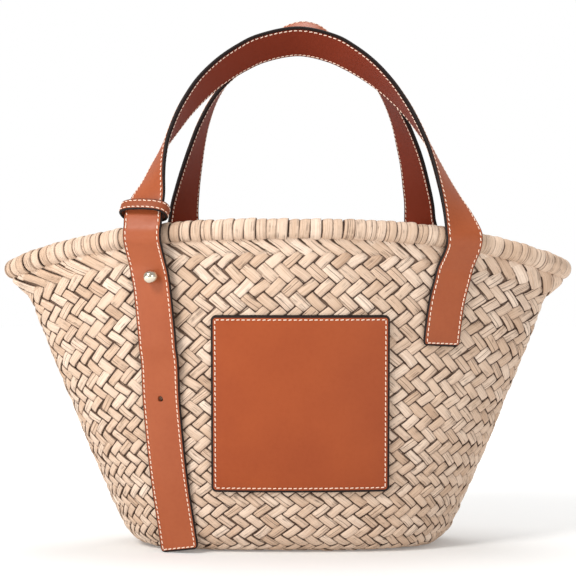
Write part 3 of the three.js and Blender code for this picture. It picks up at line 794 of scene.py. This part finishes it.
# The wall's outer face on the front at each x and z: the height is found by halving, and the normal
# is the cross product of the surface's two directions.
def frontWallAt(x, z):
    x, z = np.broadcast_arrays(np.asarray(x, float), np.asarray(z, float))

    def angleFor(rise):
        halfWidth = bag["mouthHalfWidth"] * sectionAt(rise)[..., 1] + bag["wallHalf"]
        return -np.arccos(np.clip(x / halfWidth, -1, 1))

    def at(angle, rise):
        return wallPoint(angle, sectionAt(rise), bag["wallHalf"])

    low, high = np.zeros_like(z), np.ones_like(z)
    for _ in range(36):
        middle = (low + high) / 2
        below = at(angleFor(middle), middle)[..., 2] < z
        low, high = np.where(below, middle, low), np.where(below, high, middle)
    angle = angleFor(low)
    across = at(angle + 0.01, low) - at(angle - 0.01, low)
    upward = at(angle, np.minimum(low + 0.01, 1)) - at(angle, np.maximum(low - 0.01, 0))
    normal = unit(np.cross(across, upward))
    level = unit(across * np.array([1, 1, 0]))
    return at(angle, low), normal, level


# One leg from its foot to the rim: points above the wall's face, then round the rim's roll.
def legStations(handle, side, foot, lift):
    key = 1 if side < 0 else 2
    legs = straps["legs"]
    tabRise = straps["tabFoot"] / bag["wallHeight"]
    tabRow = [tabRise, np.interp(tabRise, legs[:, 0], legs[:, 1]), np.interp(tabRise, legs[:, 0], legs[:, 2])]
    rows = np.vstack([legs, tabRow])
    rows = rows[np.argsort(rows[:, 0])]
    rows = rows[rows[:, 0] * bag["wallHeight"] >= foot - 1e-9]
    z = rows[:, 0] * bag["wallHeight"]
    x = straps["centre"] + side * handle["halfSpan"] * rows[:, key]
    point, normal, across = frontWallAt(x, z)
    points, directions = point + normal * lift(z)[:, None], across
    if foot < points[0, 2]:
        drop = foot - points[0, 2]
        slope = (legs[1, key] - legs[0, key]) / (legs[1, 0] - legs[0, 0]) / bag["wallHeight"]
        end = points[0] + np.array([side * handle["halfSpan"] * slope * drop, 0, drop])
        points, directions = np.vstack([end, points]), np.vstack([directions[:1], directions])
    rimX = straps["centre"] + side * handle["halfSpan"] * handle["rimOut"][key - 1]
    angle = -np.arccos(rimX / bag["mouthHalfWidth"])
    ahead, before = (rimPoint(np.array([angle + step])) for step in (0.001, -0.001))
    level, upward = unit((ahead - before) * np.array([1, 1, 0])), np.array([0, 0, 1.0])
    outward = np.cross(level, upward)
    turn = np.radians(straps["wrapAngles"])[:, None]
    reach = bag["rimRadius"] + straps["rimRoom"] + lift(np.array([bag["mouthHeight"]]))[0]
    over = rimPoint(np.array([angle])) + reach * (np.cos(turn) * outward + np.sin(turn) * upward)
    points = np.vstack([points, over])
    directions = np.vstack([directions, np.repeat(level, len(over), axis=0)])
    return points, directions * (-side * np.sign(directions[:, :1]))


# The free stretch of one leg: it leans evenly from the rim to the crest, and turns as its rows say.
def freeStations(handle, side, start):
    rows = handle["rows"]
    z = bag["mouthHeight"] + handle["rise"] * rows[:, 0]
    lean = (z - start[2]) / (bag["mouthHeight"] + handle["rise"] - start[2])
    x = straps["centre"] + handle["halfSpan"] * (side * rows[:, 1] + rows[:, 2])
    y = start[1] + (-straps["crestDepth"] - start[1]) * lean
    return np.stack([x, y, z], axis=1), np.radians(rows[:, 3 if side < 0 else 4])


# Cubic pieces through points. Knot steps are square roots of the distances for a path, or all one.
def throughPoints(points, at, even=False):
    last = len(points) - 1
    before, after = 2 * points[0] - points[1], 2 * points[-1] - points[-2]
    padded = np.vstack([before, points, after])
    gaps = np.sqrt(np.linalg.norm(np.diff(padded, axis=0), axis=1))[:, None]
    if even:
        gaps = np.ones_like(gaps)
    place = np.clip(at, 0, 1) * last
    i = np.clip(np.floor(place).astype(int), 0, last - 1)
    w = (place - i)[:, None]
    p0, p1, p2, p3 = (padded[i + k] for k in range(4))
    g0, g1, g2 = (gaps[i + k] for k in range(3))
    leave = ((p1 - p0) / g0 - (p2 - p0) / (g0 + g1) + (p2 - p1) / g1) * g1
    arrive = ((p2 - p1) / g1 - (p3 - p1) / (g1 + g2) + (p3 - p2) / g2) * g1
    c2, c3 = -3 * p1 + 3 * p2 - 2 * leave - arrive, 2 * p1 - 2 * p2 + leave + arrive
    return p1 + leave * w + c2 * w**2 + c3 * w**3


# A strap's path: centre, along, across and outward at any lengths along it.
class StrapPath:
    def __init__(self, points, directions, turns, behind=False):
        self.last = len(points) - 1
        self.points = points
        knots = np.linspace(0, 1, len(points))
        along = self.direction(knots)
        outward = unit(np.stack([-along[:, 2], np.zeros(len(along)), along[:, 0]], axis=1))
        turned = -np.cos(turns)[:, None] * outward + np.sin(turns)[:, None] * np.array([0, -1.0, 0])
        self.directions = np.where(np.isnan(turns)[:, None], directions, turned)
        fine = np.linspace(0, 1, 6001)
        line = throughPoints(points, fine)
        self.fine = fine
        self.reached = np.concatenate([[0], np.cumsum(np.linalg.norm(np.diff(line, axis=0), axis=1))])
        self.length = self.reached[-1]
        self.mirror = np.array([1, -1 if behind else 1, 1.0])

    def direction(self, at):
        ahead = throughPoints(self.points, np.minimum(at + 1e-4, 1))
        return unit(ahead - throughPoints(self.points, np.maximum(at - 1e-4, 0)))

    def frames(self, lengths):
        at = np.interp(lengths, self.reached, self.fine)
        along = self.direction(at)
        across = throughPoints(self.directions, at, even=True)
        across = unit(across - along * (across * along).sum(axis=1, keepdims=True))
        outward = np.cross(across, along)
        return tuple(part * self.mirror for part in (throughPoints(self.points, at), along, across, outward))

    # length along the first leg at which the centre line reaches a height
    def lengthAtHeight(self, height):
        z = throughPoints(self.points, self.fine)[:, 2]
        top = z.argmax()
        return float(np.interp(height, z[:top], self.reached[:top]))


# A whole handle: left leg, free stretch up to the crest and down again, right leg.
def handlePath(handle, leftFoot, leftLift, behind=False):
    sewn = straps["weaveGap"] + straps["thickness"] / 2
    leftPoints, leftAcross = legStations(handle, -1, leftFoot, leftLift)
    rightPoints, rightAcross = legStations(handle, 1, straps["tabFoot"], lambda z: np.full_like(z, sewn))
    leftFree, leftTurn = freeStations(handle, -1, leftPoints[-1])
    rightFree, rightTurn = freeStations(handle, 1, rightPoints[-1])
    points = np.vstack([leftPoints, leftFree, rightFree[:-1][::-1], rightPoints[::-1]])
    freeCount = len(leftFree) + len(rightFree) - 1
    across = np.vstack([leftAcross, np.zeros((freeCount, 3)), rightAcross[::-1]])
    none = np.full(len(leftPoints), np.nan)
    turns = np.concatenate([none, leftTurn, rightTurn[:-1][::-1], np.full(len(rightPoints), np.nan)])
    return StrapPath(points, across, turns, behind)


sewnLift = straps["weaveGap"] + straps["thickness"] / 2
overTabLift = sewnLift + straps["thickness"] + straps["leatherGap"]


# The long end lies on the wall low down, and stands clear of the tab above the tab's foot.
def longEndLift(z):
    share = np.clip((z - (straps["tabFoot"] - straps["tabLap"])) / straps["tabLap"], 0, 1)
    return sewnLift + (overTabLift - sewnLift) * share


frontPath = handlePath(frontHandle, straps["endClearance"], longEndLift)
backPath = handlePath(backHandle, straps["tabFoot"], lambda z: np.full_like(z, sewnLift), behind=True)
print("strap lengths in mm", round(frontPath.length * 1000), round(backPath.length * 1000))

# Leather straps

strapFinish = {
    "edgeRound": 0.0011,
    "cornerRadius": 0.003,
    "crown": 0.0001,
    "stitchInset": 0.0018,
    "stitchGroove": 0.00016,
    "grooveWidth": 0.0005,
    "stitchPitch": 0.0029,
    "stitchLength": 0.002,
    "stitchRadius": 0.00032,
    "ringStep": 0.0014,
}


# Half a strap's cross-section from edge to edge on one face: flat with a low crown, a groove under
# each row of stitches and a quarter circle down each edge, painted on its lower part. Returns places
# across, heights and paint.
def faceProfile(width, thickness):
    s = strapFinish
    half, r, inset = width / 2, s["edgeRound"], s["stitchInset"]
    arc = np.linspace(0, math.pi / 2, 6)
    edgeX = half - r + r * np.cos(arc)
    edgeH = thickness / 2 - r + r * np.sin(arc)
    flat = half - inset + np.array([0.0007, 0.0002, -0.0004, -0.001])
    inner = np.linspace(half - inset - 0.002, 0, 5)
    positive = np.concatenate([flat, inner])
    groove = s["stitchGroove"] * np.exp(-(((positive - (half - inset)) / s["grooveWidth"]) ** 2))
    crown = s["crown"] * (1 - (positive / half) ** 2)
    x = np.concatenate([edgeX, positive])
    h = np.concatenate([edgeH, thickness / 2 - groove + crown])
    paint = np.concatenate([[1, 1, 1, 0.8, 0.35, 0], np.zeros(len(positive))])
    x = np.concatenate([-x, x[:-1][::-1]])
    return x, np.concatenate([h, h[:-1][::-1]]), np.concatenate([paint, paint[:-1][::-1]])


# The whole strap: the profile carried along the path, narrowed along a quarter circle at a rounded
# end and thinned to nothing over the last millimetre, so that both ends close.
def strapPiece(name, path, start, end, width, thickness, offset=0.0):
    s = strapFinish
    x, h, paint = faceProfile(width, thickness)
    ringX = np.concatenate([x, x[::-1]])
    ringH = np.concatenate([h, -h[::-1]])
    wholeEdge = np.where(np.abs(x) > width / 2 - s["edgeRound"] + 1e-5, 1.0, 0.0)
    ringPaint = np.concatenate([paint, wholeEdge[::-1]])
    nearEnd = np.array([0, 0.00008, 0.0003, 0.0006, 0.001, 0.0015, 0.0021, 0.003])
    count = int((end - start - 0.008) / s["ringStep"])
    between = np.linspace(start + 0.004, end - 0.004, count)
    lengths = np.concatenate([start + nearEnd, between, end - nearEnd[::-1]])
    distance = np.minimum(lengths - start, end - lengths)
    short = np.clip(s["cornerRadius"] - distance, 0, None)
    inset = s["cornerRadius"] - np.sqrt(s["cornerRadius"] ** 2 - short**2)
    closing = np.clip(1 - distance / s["edgeRound"], 0, 1)
    thin = np.sqrt(1 - closing**2)
    centre, along, across, outward = path.frames(lengths)
    half = width / 2
    places = ringX[None, :] * ((half - inset) / half)[:, None]
    heights = offset + ringH[None, :] * thin[:, None]
    points = centre[:, None] + places[..., None] * across[:, None] + heights[..., None] * outward[:, None]
    rings, size = len(lengths), len(ringX)
    faces = gridQuads(rings, size, closeColumns=True)
    if path.mirror[1] < 0:
        faces = faces[:, ::-1]
    endPaint = (distance < s["edgeRound"] * 0.95)[:, None] * 0.9
    edge = np.maximum(np.broadcast_to(ringPaint, places.shape), endPaint)
    uv = np.stack([places, np.broadcast_to(lengths[:, None], places.shape)], axis=-1)
    # marks the inner face, which the leather darkens as painted shade
    inside = np.broadcast_to(ringH < 0, places.shape)
    piece = makePiece(name, points, faces, strapLeather, uv, {"edge": edge, "inside": inside})
    return piece


frontStrap = strapPiece("front_strap", frontPath, 0, frontPath.length, straps["width"], straps["thickness"])
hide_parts("front_handle")
backStrap = strapPiece("back_strap", backPath, 0, backPath.length, straps["width"], straps["thickness"])
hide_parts("back_handle")
print("straps ready")

# Stitches

stitchSides = 6


# A stitch's mesh: a short rod with rounded ends along x, of rings whose radius follows a half circle
# at each end. Returns points for length one and radius one, kept apart so that each scales alone.
def stitchShape():
    ends = np.array([-0.5, -0.46, -0.36, 0.36, 0.46, 0.5])
    size = np.array([0.25, 0.78, 1.0, 1.0, 0.78, 0.25])
    spin = np.linspace(0, 2 * math.pi, stitchSides, endpoint=False)
    y, z = (size[:, None] * turned for turned in (np.cos(spin), np.sin(spin)))
    return np.stack([np.repeat(ends, stitchSides), y.ravel(), z.ravel()], axis=1)


# Many stitches at once: each has a centre, a direction, an outward normal and a slight turn.
def stitchPiece(name, centres, directions, normals):
    s = strapFinish
    shape = stitchShape()
    count = len(centres)
    side = np.cross(normals, directions)
    turn = random.normal(0.12, 0.06, count)[:, None]
    directions = unit(directions + side * turn)
    side = unit(np.cross(normals, directions))
    length = (s["stitchLength"] * random.normal(1, 0.04, count))[:, None, None]
    radius = s["stitchRadius"]
    points = (
        centres[:, None]
        + directions[:, None] * shape[None, :, :1] * length
        + side[:, None] * shape[None, :, 1:2] * radius
        + normals[:, None] * (shape[None, :, 2:] * radius * 0.85)
    )
    faces, caps = tubeFaces(count, len(shape) // stitchSides, stitchSides)
    piece = makePiece(name, points, faces, thread, caps=caps)


# Rows of stitches along both edges of a strap, on the faces asked for, and one row across each
# rounded end.
def strapStitches(name, path, start, end, width, thickness, faces=(1, -1), ends=(True, True)):
    s = strapFinish
    inset = s["stitchInset"]
    half = width / 2 - inset
    run = end - start - 2 * inset
    count = int(round(run / s["stitchPitch"]))
    lengths = start + inset + (np.arange(count) + 0.5) * run / count
    across = np.array([-half, half])
    rowLengths, rowAcross = np.repeat(lengths, 2), np.tile(across, count)
    alongEdge = np.ones(len(rowLengths))
    crossCount = int(round(2 * half / s["stitchPitch"]))
    crossAcross = -half + (np.arange(crossCount) + 0.5) * 2 * half / crossCount
    for atEnd, wanted in zip((start + inset, end - inset), ends):
        if wanted:
            rowLengths = np.concatenate([rowLengths, np.full(crossCount, atEnd)])
            rowAcross = np.concatenate([rowAcross, crossAcross])
            alongEdge = np.concatenate([alongEdge, np.zeros(crossCount)])
    centre, along, acrossDirection, outward = path.frames(rowLengths)
    direction = along * alongEdge[:, None] + acrossDirection * (1 - alongEdge[:, None])
    centres, directions, normals = [], [], []
    for face in faces:
        height = face * (thickness / 2 + s["stitchRadius"] * 0.25)
        centres.append(centre + acrossDirection * rowAcross[:, None] + outward * height)
        directions.append(direction)
        normals.append(outward * face)
    stitchPiece(name, *(np.concatenate(part) for part in (centres, directions, normals)))


strapStitches("front_strap_stitches", frontPath, 0, frontPath.length, straps["width"], straps["thickness"])
strapStitches("back_strap_stitches", backPath, 0, backPath.length, straps["width"], straps["thickness"])
print("strap stitches ready")

# Tab, keeper and stud

keeper = {
    "height": 0.007,
    "thickness": 0.0016,
    "sideRoom": 0.0016,
    "frontDepth": 0.0056,
    "backDepth": 0.006,
    "setback": 0.0006,
    "tip": math.radians(5),
    "power": 2.6,
    "riseAboveRim": 0.011,
    "edgeRound": 0.0007,
    "stitchInset": 0.0014,
}
tabWidth = 0.019
tabStart = frontPath.lengthAtHeight(straps["tabFoot"])
keeperLength = frontPath.lengthAtHeight(bag["mouthHeight"] + keeper["riseAboveRim"])
tabEnd = frontPath.lengthAtHeight(bag["mouthHeight"] + keeper["riseAboveRim"] + keeper["height"] / 2)
tabOffset = -(straps["thickness"] + straps["leatherGap"])
tab = strapPiece("hidden_tab", frontPath, tabStart, tabEnd, tabWidth, straps["thickness"], tabOffset)
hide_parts("anchor_tab")


# The loop round the strap: a rounded outline, each point at the power of its cosine and sine, fuller
# at the front, swept by a band with rounded edges. It tips a little beyond square to the strap.
def keeperPiece():
    s = keeper
    centre, along, across, outward = (part[0] for part in frontPath.frames(np.array([keeperLength])))
    front = outward * math.cos(s["tip"]) + along * math.sin(s["tip"])
    axis = unit(np.cross(front, across))
    angle = np.linspace(0, 2 * math.pi, 120, endpoint=False)
    rounded = lambda v: np.sign(v) * np.abs(v) ** (2 / s["power"])
    halfWidth = straps["width"] / 2 + s["sideRoom"]
    depth = np.where(np.sin(angle) > 0, s["frontDepth"], s["backDepth"])
    middle = centre - front * s["setback"]

    def outline(grow):
        return (
            middle
            + ((halfWidth + grow) * rounded(np.cos(angle)))[..., None] * across
            + ((depth + grow) * rounded(np.sin(angle)))[..., None] * front
        )

    half, thick, r = s["height"] / 2, s["thickness"], s["edgeRound"]
    arc = np.linspace(0, math.pi / 2, 4)
    outer, inner, high = thick - r + r * np.sin(arc), r - r * np.sin(arc), half - r + r * np.cos(arc)
    grow = np.concatenate([outer, outer[::-1], inner, inner[::-1]])
    up = np.concatenate([high, -high[::-1], -high, high[::-1]])
    points = np.stack([outline(g) + u * axis for g, u in zip(grow, up)], axis=1)
    faces = gridQuads(len(angle), len(grow), closeRows=True, closeColumns=True)
    fromMiddle = np.abs(up)
    paint = np.where(fromMiddle > half - r * 0.75, 0.9, np.where(fromMiddle > half - r * 1.05, 0.45, 0.0))
    values = {"edge": np.broadcast_to(paint, points.shape[:-1])}
    piece = makePiece("keeper_band", points, faces, strapLeather, values=values)
    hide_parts("keeper_loop")
    line = outline(thick)
    following = unit(np.roll(line, -1, axis=0) - np.roll(line, 1, axis=0))
    away = unit(np.cross(following, axis))
    length = np.concatenate([[0], np.cumsum(np.linalg.norm(np.roll(line, -1, axis=0) - line, axis=1))])
    count = int(length[-1] / strapFinish["stitchPitch"])
    wanted = (np.arange(count) + 0.5) * length[-1] / count
    around = np.interp(wanted, length, np.arange(len(length))) % len(line)
    low = np.floor(around).astype(int)
    share = (around - low)[:, None]
    blend = lambda part: part[low] * (1 - share) + part[(low + 1) % len(part)] * share
    reach = half - s["stitchInset"]
    rows = [blend(line) + axis * level + blend(away) * 0.0001 for level in (-reach, reach)]
    directions, normals = (np.tile(unit(blend(part)), (2, 1)) for part in (following, away))
    stitchPiece("keeper_stitches", np.concatenate(rows), directions, normals)


keeperPiece()

stud = {
    "height": 0.158, "shift": 0.0026, "headRadius": 0.0041, "collarRadius": 0.0027,
    "collarHeight": 0.0005, "neckRadius": 0.0013, "gap": 0.0003,
}
spareHole = {"height": 0.089, "radius": 0.0016}


# A turned stud: collar, waist and ball, and a plain neck behind, as a profile spun about its axis.
def studPiece():
    s = stud
    place = frontPath.lengthAtHeight(s["height"])
    centre, along, across, outward = (part[0] for part in frontPath.frames(np.array([place])))
    seat = centre + across * s["shift"] + outward * (straps["thickness"] / 2 + s["gap"])
    neck = 2 * straps["thickness"] + straps["leatherGap"] + s["gap"]
    ball = s["collarHeight"] + 0.9 * s["headRadius"]
    arc = np.linspace(-math.pi / 3.1, math.pi / 2 - 0.06, 22)
    neckRadius, collar = s["neckRadius"], s["collarRadius"]
    radius = np.concatenate([
        [0.0002, neckRadius, neckRadius, collar - 0.0001, collar, collar - 0.0001],
        s["headRadius"] * np.cos(arc), [0.00002],
    ])
    height = np.concatenate([
        [-neck, -neck, 0, 0, s["collarHeight"] / 2, s["collarHeight"]],
        ball + s["headRadius"] * np.sin(arc), [ball + s["headRadius"]],
    ])
    spin = np.linspace(0, 2 * math.pi, 48, endpoint=False)
    ring = np.cos(spin)[:, None] * across + np.sin(spin)[:, None] * along
    points = seat + radius[:, None, None] * ring[None] + height[:, None, None] * outward
    faces, caps = tubeFaces(1, len(radius), len(spin), flipped=True)
    piece = makePiece("ball_stud", points, faces, studMetal, caps=caps)
    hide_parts("handle_stud")


# A round hole through a strap at a length along its path: the strap less a cylinder, whose painted
# wall becomes the hole's.
def cutHole(piece, path, place, shift, radius):
    centre, along, across, outward = (part[0] for part in path.frames(np.array([place])))
    sides = 32
    spin = np.linspace(0, 2 * math.pi, sides, endpoint=False)[:, None]
    ring = centre + across * shift + radius * (np.cos(spin) * across + np.sin(spin) * along)
    points = np.concatenate([ring - outward * 0.008, ring + outward * 0.004])
    faces, caps = tubeFaces(1, 2, sides)
    uv, values = points[:, :2], {"edge": np.ones(2 * sides), "inside": np.zeros(2 * sides)}
    cutter = makeObject("hole_cutter", points, faces, strapLeather, uv, values, caps, smooth=False)
    modifier = piece.modifiers.new("hole", "BOOLEAN")
    modifier.operation, modifier.solver, modifier.object = "DIFFERENCE", "EXACT", cutter
    evaluated = piece.evaluated_get(bpy.context.evaluated_depsgraph_get())
    cutMesh = bpy.data.meshes.new_from_object(evaluated)
    piece.modifiers.clear()
    piece.data = cutMesh
    bpy.data.objects.remove(cutter)


studPiece()
studPlace = frontPath.lengthAtHeight(stud["height"])
for strap in (frontStrap, tab):
    cutHole(strap, frontPath, studPlace, stud["shift"], spareHole["radius"])
cutHole(frontStrap, frontPath, frontPath.lengthAtHeight(spareHole["height"]), 0.0, spareHole["radius"])
print("tab, keeper, stud and holes ready")

# Leather patch

patch = {
    "size": 0.101, "thickness": 0.0022, "middleX": 0.007, "middleZ": 0.0865, "cornerRadius": 0.003,
    "edgeRound": 0.0011, "stitchInset": 0.0026, "groove": 0.00018, "crown": 0.0005,
}


# The patch: a square with rounded corners laid on the wall. Its height rises over a quarter circle
# from the edge, dips under the stitches and crowns a little in the middle.
def patchPiece():
    s = patch
    half = s["size"] / 2
    nearEdge = np.array([
        0, 0.00005, 0.0002, 0.00045, 0.00075, 0.0011, 0.0014, 0.0017, 0.0022, 0.0026, 0.003, 0.004,
    ])
    steps = np.concatenate([nearEdge, np.linspace(0.007, s["size"] - 0.007, 30), s["size"] - nearEdge[::-1]])
    v = steps - half
    inner = np.clip(s["cornerRadius"] - np.minimum(steps, s["size"] - steps), 0, None)
    inset = s["cornerRadius"] - np.sqrt(s["cornerRadius"] ** 2 - inner**2)
    x = v[None, :] * ((half - inset) / half)[:, None]
    z = np.broadcast_to(v[:, None], x.shape)
    corner = half - s["cornerRadius"]
    outX, outZ = np.abs(x) - corner, np.abs(z) - corner
    beyond = np.hypot(np.clip(outX, 0, None), np.clip(outZ, 0, None)) + np.minimum(np.maximum(outX, outZ), 0)
    fromEdge = np.clip(s["cornerRadius"] - beyond, 0, None)
    rounding = 1 - np.clip(1 - fromEdge / s["edgeRound"], 0, 1) ** 2
    groove = s["groove"] * np.exp(-(((fromEdge - s["stitchInset"]) / strapFinish["grooveWidth"]) ** 2))
    crown = s["crown"] * np.clip((fromEdge - 0.003) / 0.03, 0, 1) * 0.6
    height = straps["weaveGap"] + s["thickness"] * (0.35 + 0.65 * np.sqrt(rounding)) - groove + crown
    point, normal, _ = frontWallAt(s["middleX"] + x, s["middleZ"] + z)
    top = point + normal * height[..., None]
    under = point + normal * straps["weaveGap"]
    rows, columns = x.shape
    points = np.concatenate([top.reshape(-1, 3), under.reshape(-1, 3)])
    faces = gridQuads(rows, columns)
    back = faces[:, ::-1] + rows * columns
    border = np.concatenate([
        np.arange(columns), np.arange(1, rows) * columns + columns - 1,
        (rows - 1) * columns + np.arange(columns - 2, -1, -1), np.arange(rows - 2, 0, -1) * columns,
    ])
    following = np.roll(border, -1)
    wall = np.stack([border + rows * columns, following + rows * columns, following, border], axis=1)
    edge = np.clip((0.0017 - fromEdge) / 0.0004, 0, 1).ravel()
    uv = np.stack([x, z], axis=-1).reshape(-1, 2)
    piece = makePiece(
        "square_patch", points, np.concatenate([faces, back, wall]), patchLeather,
        np.concatenate([uv, uv]), {"edge": np.concatenate([edge, np.ones_like(edge)])},
    )
    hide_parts("front_patch")

    reach = half - s["stitchInset"]
    count = int(round(2 * reach / strapFinish["stitchPitch"]))
    run = -reach + (np.arange(count) + 0.5) * 2 * reach / count
    sideX = np.concatenate([run, run, np.full(count, -reach), np.full(count, reach)])
    sideZ = np.concatenate([np.full(count, -reach), np.full(count, reach), run, run])
    place, normal, level = frontWallAt(s["middleX"] + sideX, s["middleZ"] + sideZ)
    climbing = unit(np.cross(normal, level))
    upright = np.repeat([0.0, 1.0], 2 * count)[:, None]
    direction = level * (1 - upright) + climbing * upright
    raised = straps["weaveGap"] + s["thickness"] + strapFinish["stitchRadius"] * 0.2
    stitchPiece("patch_stitches", place + normal * raised, direction, normal)


patchPiece()
print("patch ready")

# Floor, light and camera

studio = {
    "cameraPlace": (0, -1.1, 0.1522),
    "lens": 114.6,
    "floorHalf": 6.0,
    "floorColour": colour(228, 228, 227),
    # the sweep behind the bag fades to white, so the floor's own glow grows away from it
    "glowReach": (0.15, 0.9),
    "glowNear": (0.15, 0.15, 0.15),
    "glowFar": (0.62, 0.62, 0.62),
    "worldStrength": 0.5,
    # name, place, target, size, power, colour
    "lights": (
        ("key", (-0.75, -0.85, 0.95), (0, 0, 0.13), 0.5, 13.0, (1.0, 0.98, 0.95)),
        ("fill", (0.62, -1.15, 0.4), (0, 0, 0.12), 0.5, 2.6, (1.0, 0.98, 0.96)),
        ("top", (0.05, 0.25, 1.15), (0, 0, 0.1), 0.8, 7.0, (1.0, 1.0, 1.0)),
        ("low left", (-0.95, -0.55, 0.1), (0, 0, 0.24), 0.5, 3.0, (1.0, 0.98, 0.95)),
    ),
}


# A wide pale floor whose own glow grows with the distance from the bag.
def makeFloor():
    f = Finish("pale floor")
    place = f.node("ShaderNodeTexCoord", output="Object")
    paper = f.noise(place, 6.0, 2.0, 0.5)
    away = f.node("ShaderNodeVectorMath", {"operation": "LENGTH"}, {0: place}, output="Value")
    glow = f.mix(away.ramp(*studio["glowReach"]), studio["glowNear"], studio["glowFar"])
    material = f.surface(
        Base_Color=f.mix(paper, studio["floorColour"], colour(232, 232, 231)), Roughness=0.85,
        Emission_Color=glow, Emission_Strength=1.0,
    )
    s = studio["floorHalf"]
    corners = [(-s, -s, 0), (s, -s, 0), (s, s, 0), (-s, s, 0)]
    floor = makeObject("pale_floor", corners, np.array([[0, 1, 2, 3]]), material, smooth=False)


# Turns a lamp so that it looks along the line to its target.
def aim(item, target):
    direction = Vector(target) - item.location
    item.rotation_euler = direction.to_track_quat("-Z", "Y").to_euler()


# Lamps, world light and the camera at the photograph's place.
def makeStudio():
    scene = bpy.context.scene
    for name, place, target, size, power, tint in studio["lights"]:
        data = bpy.data.lights.new(name, "AREA")
        data.shape, data.size, data.energy, data.color = "DISK", size, power, tint
        item = bpy.data.objects.new(name, data)
        item.location = place
        scene.collection.objects.link(item)
        aim(item, target)
    world = bpy.data.worlds.new("studio")
    world.use_nodes = True
    nodes, links = world.node_tree.nodes, world.node_tree.links
    background = nodes["Background"]
    background.inputs["Color"].default_value = (1, 1, 1, 1)
    # white where it is seen, softer where it lights the bag
    path, strength = nodes.new("ShaderNodeLightPath"), nodes.new("ShaderNodeMapRange")
    strength.inputs["To Min"].default_value = studio["worldStrength"]
    strength.inputs["To Max"].default_value = 1.0
    links.new(path.outputs["Is Camera Ray"], strength.inputs["Value"])
    links.new(strength.outputs["Result"], background.inputs["Strength"])
    scene.world = world
    scene.view_settings.view_transform = "Standard"
    data = bpy.data.cameras.new("photograph")
    data.lens, data.sensor_width, data.sensor_fit = studio["lens"], 36, "HORIZONTAL"
    camera = bpy.data.objects.new("photograph", data)
    camera.location = studio["cameraPlace"]
    camera.rotation_euler = (math.pi / 2, 0, 0)
    scene.collection.objects.link(camera)
    scene.camera = camera


makeFloor()
makeStudio()
print("studio ready")
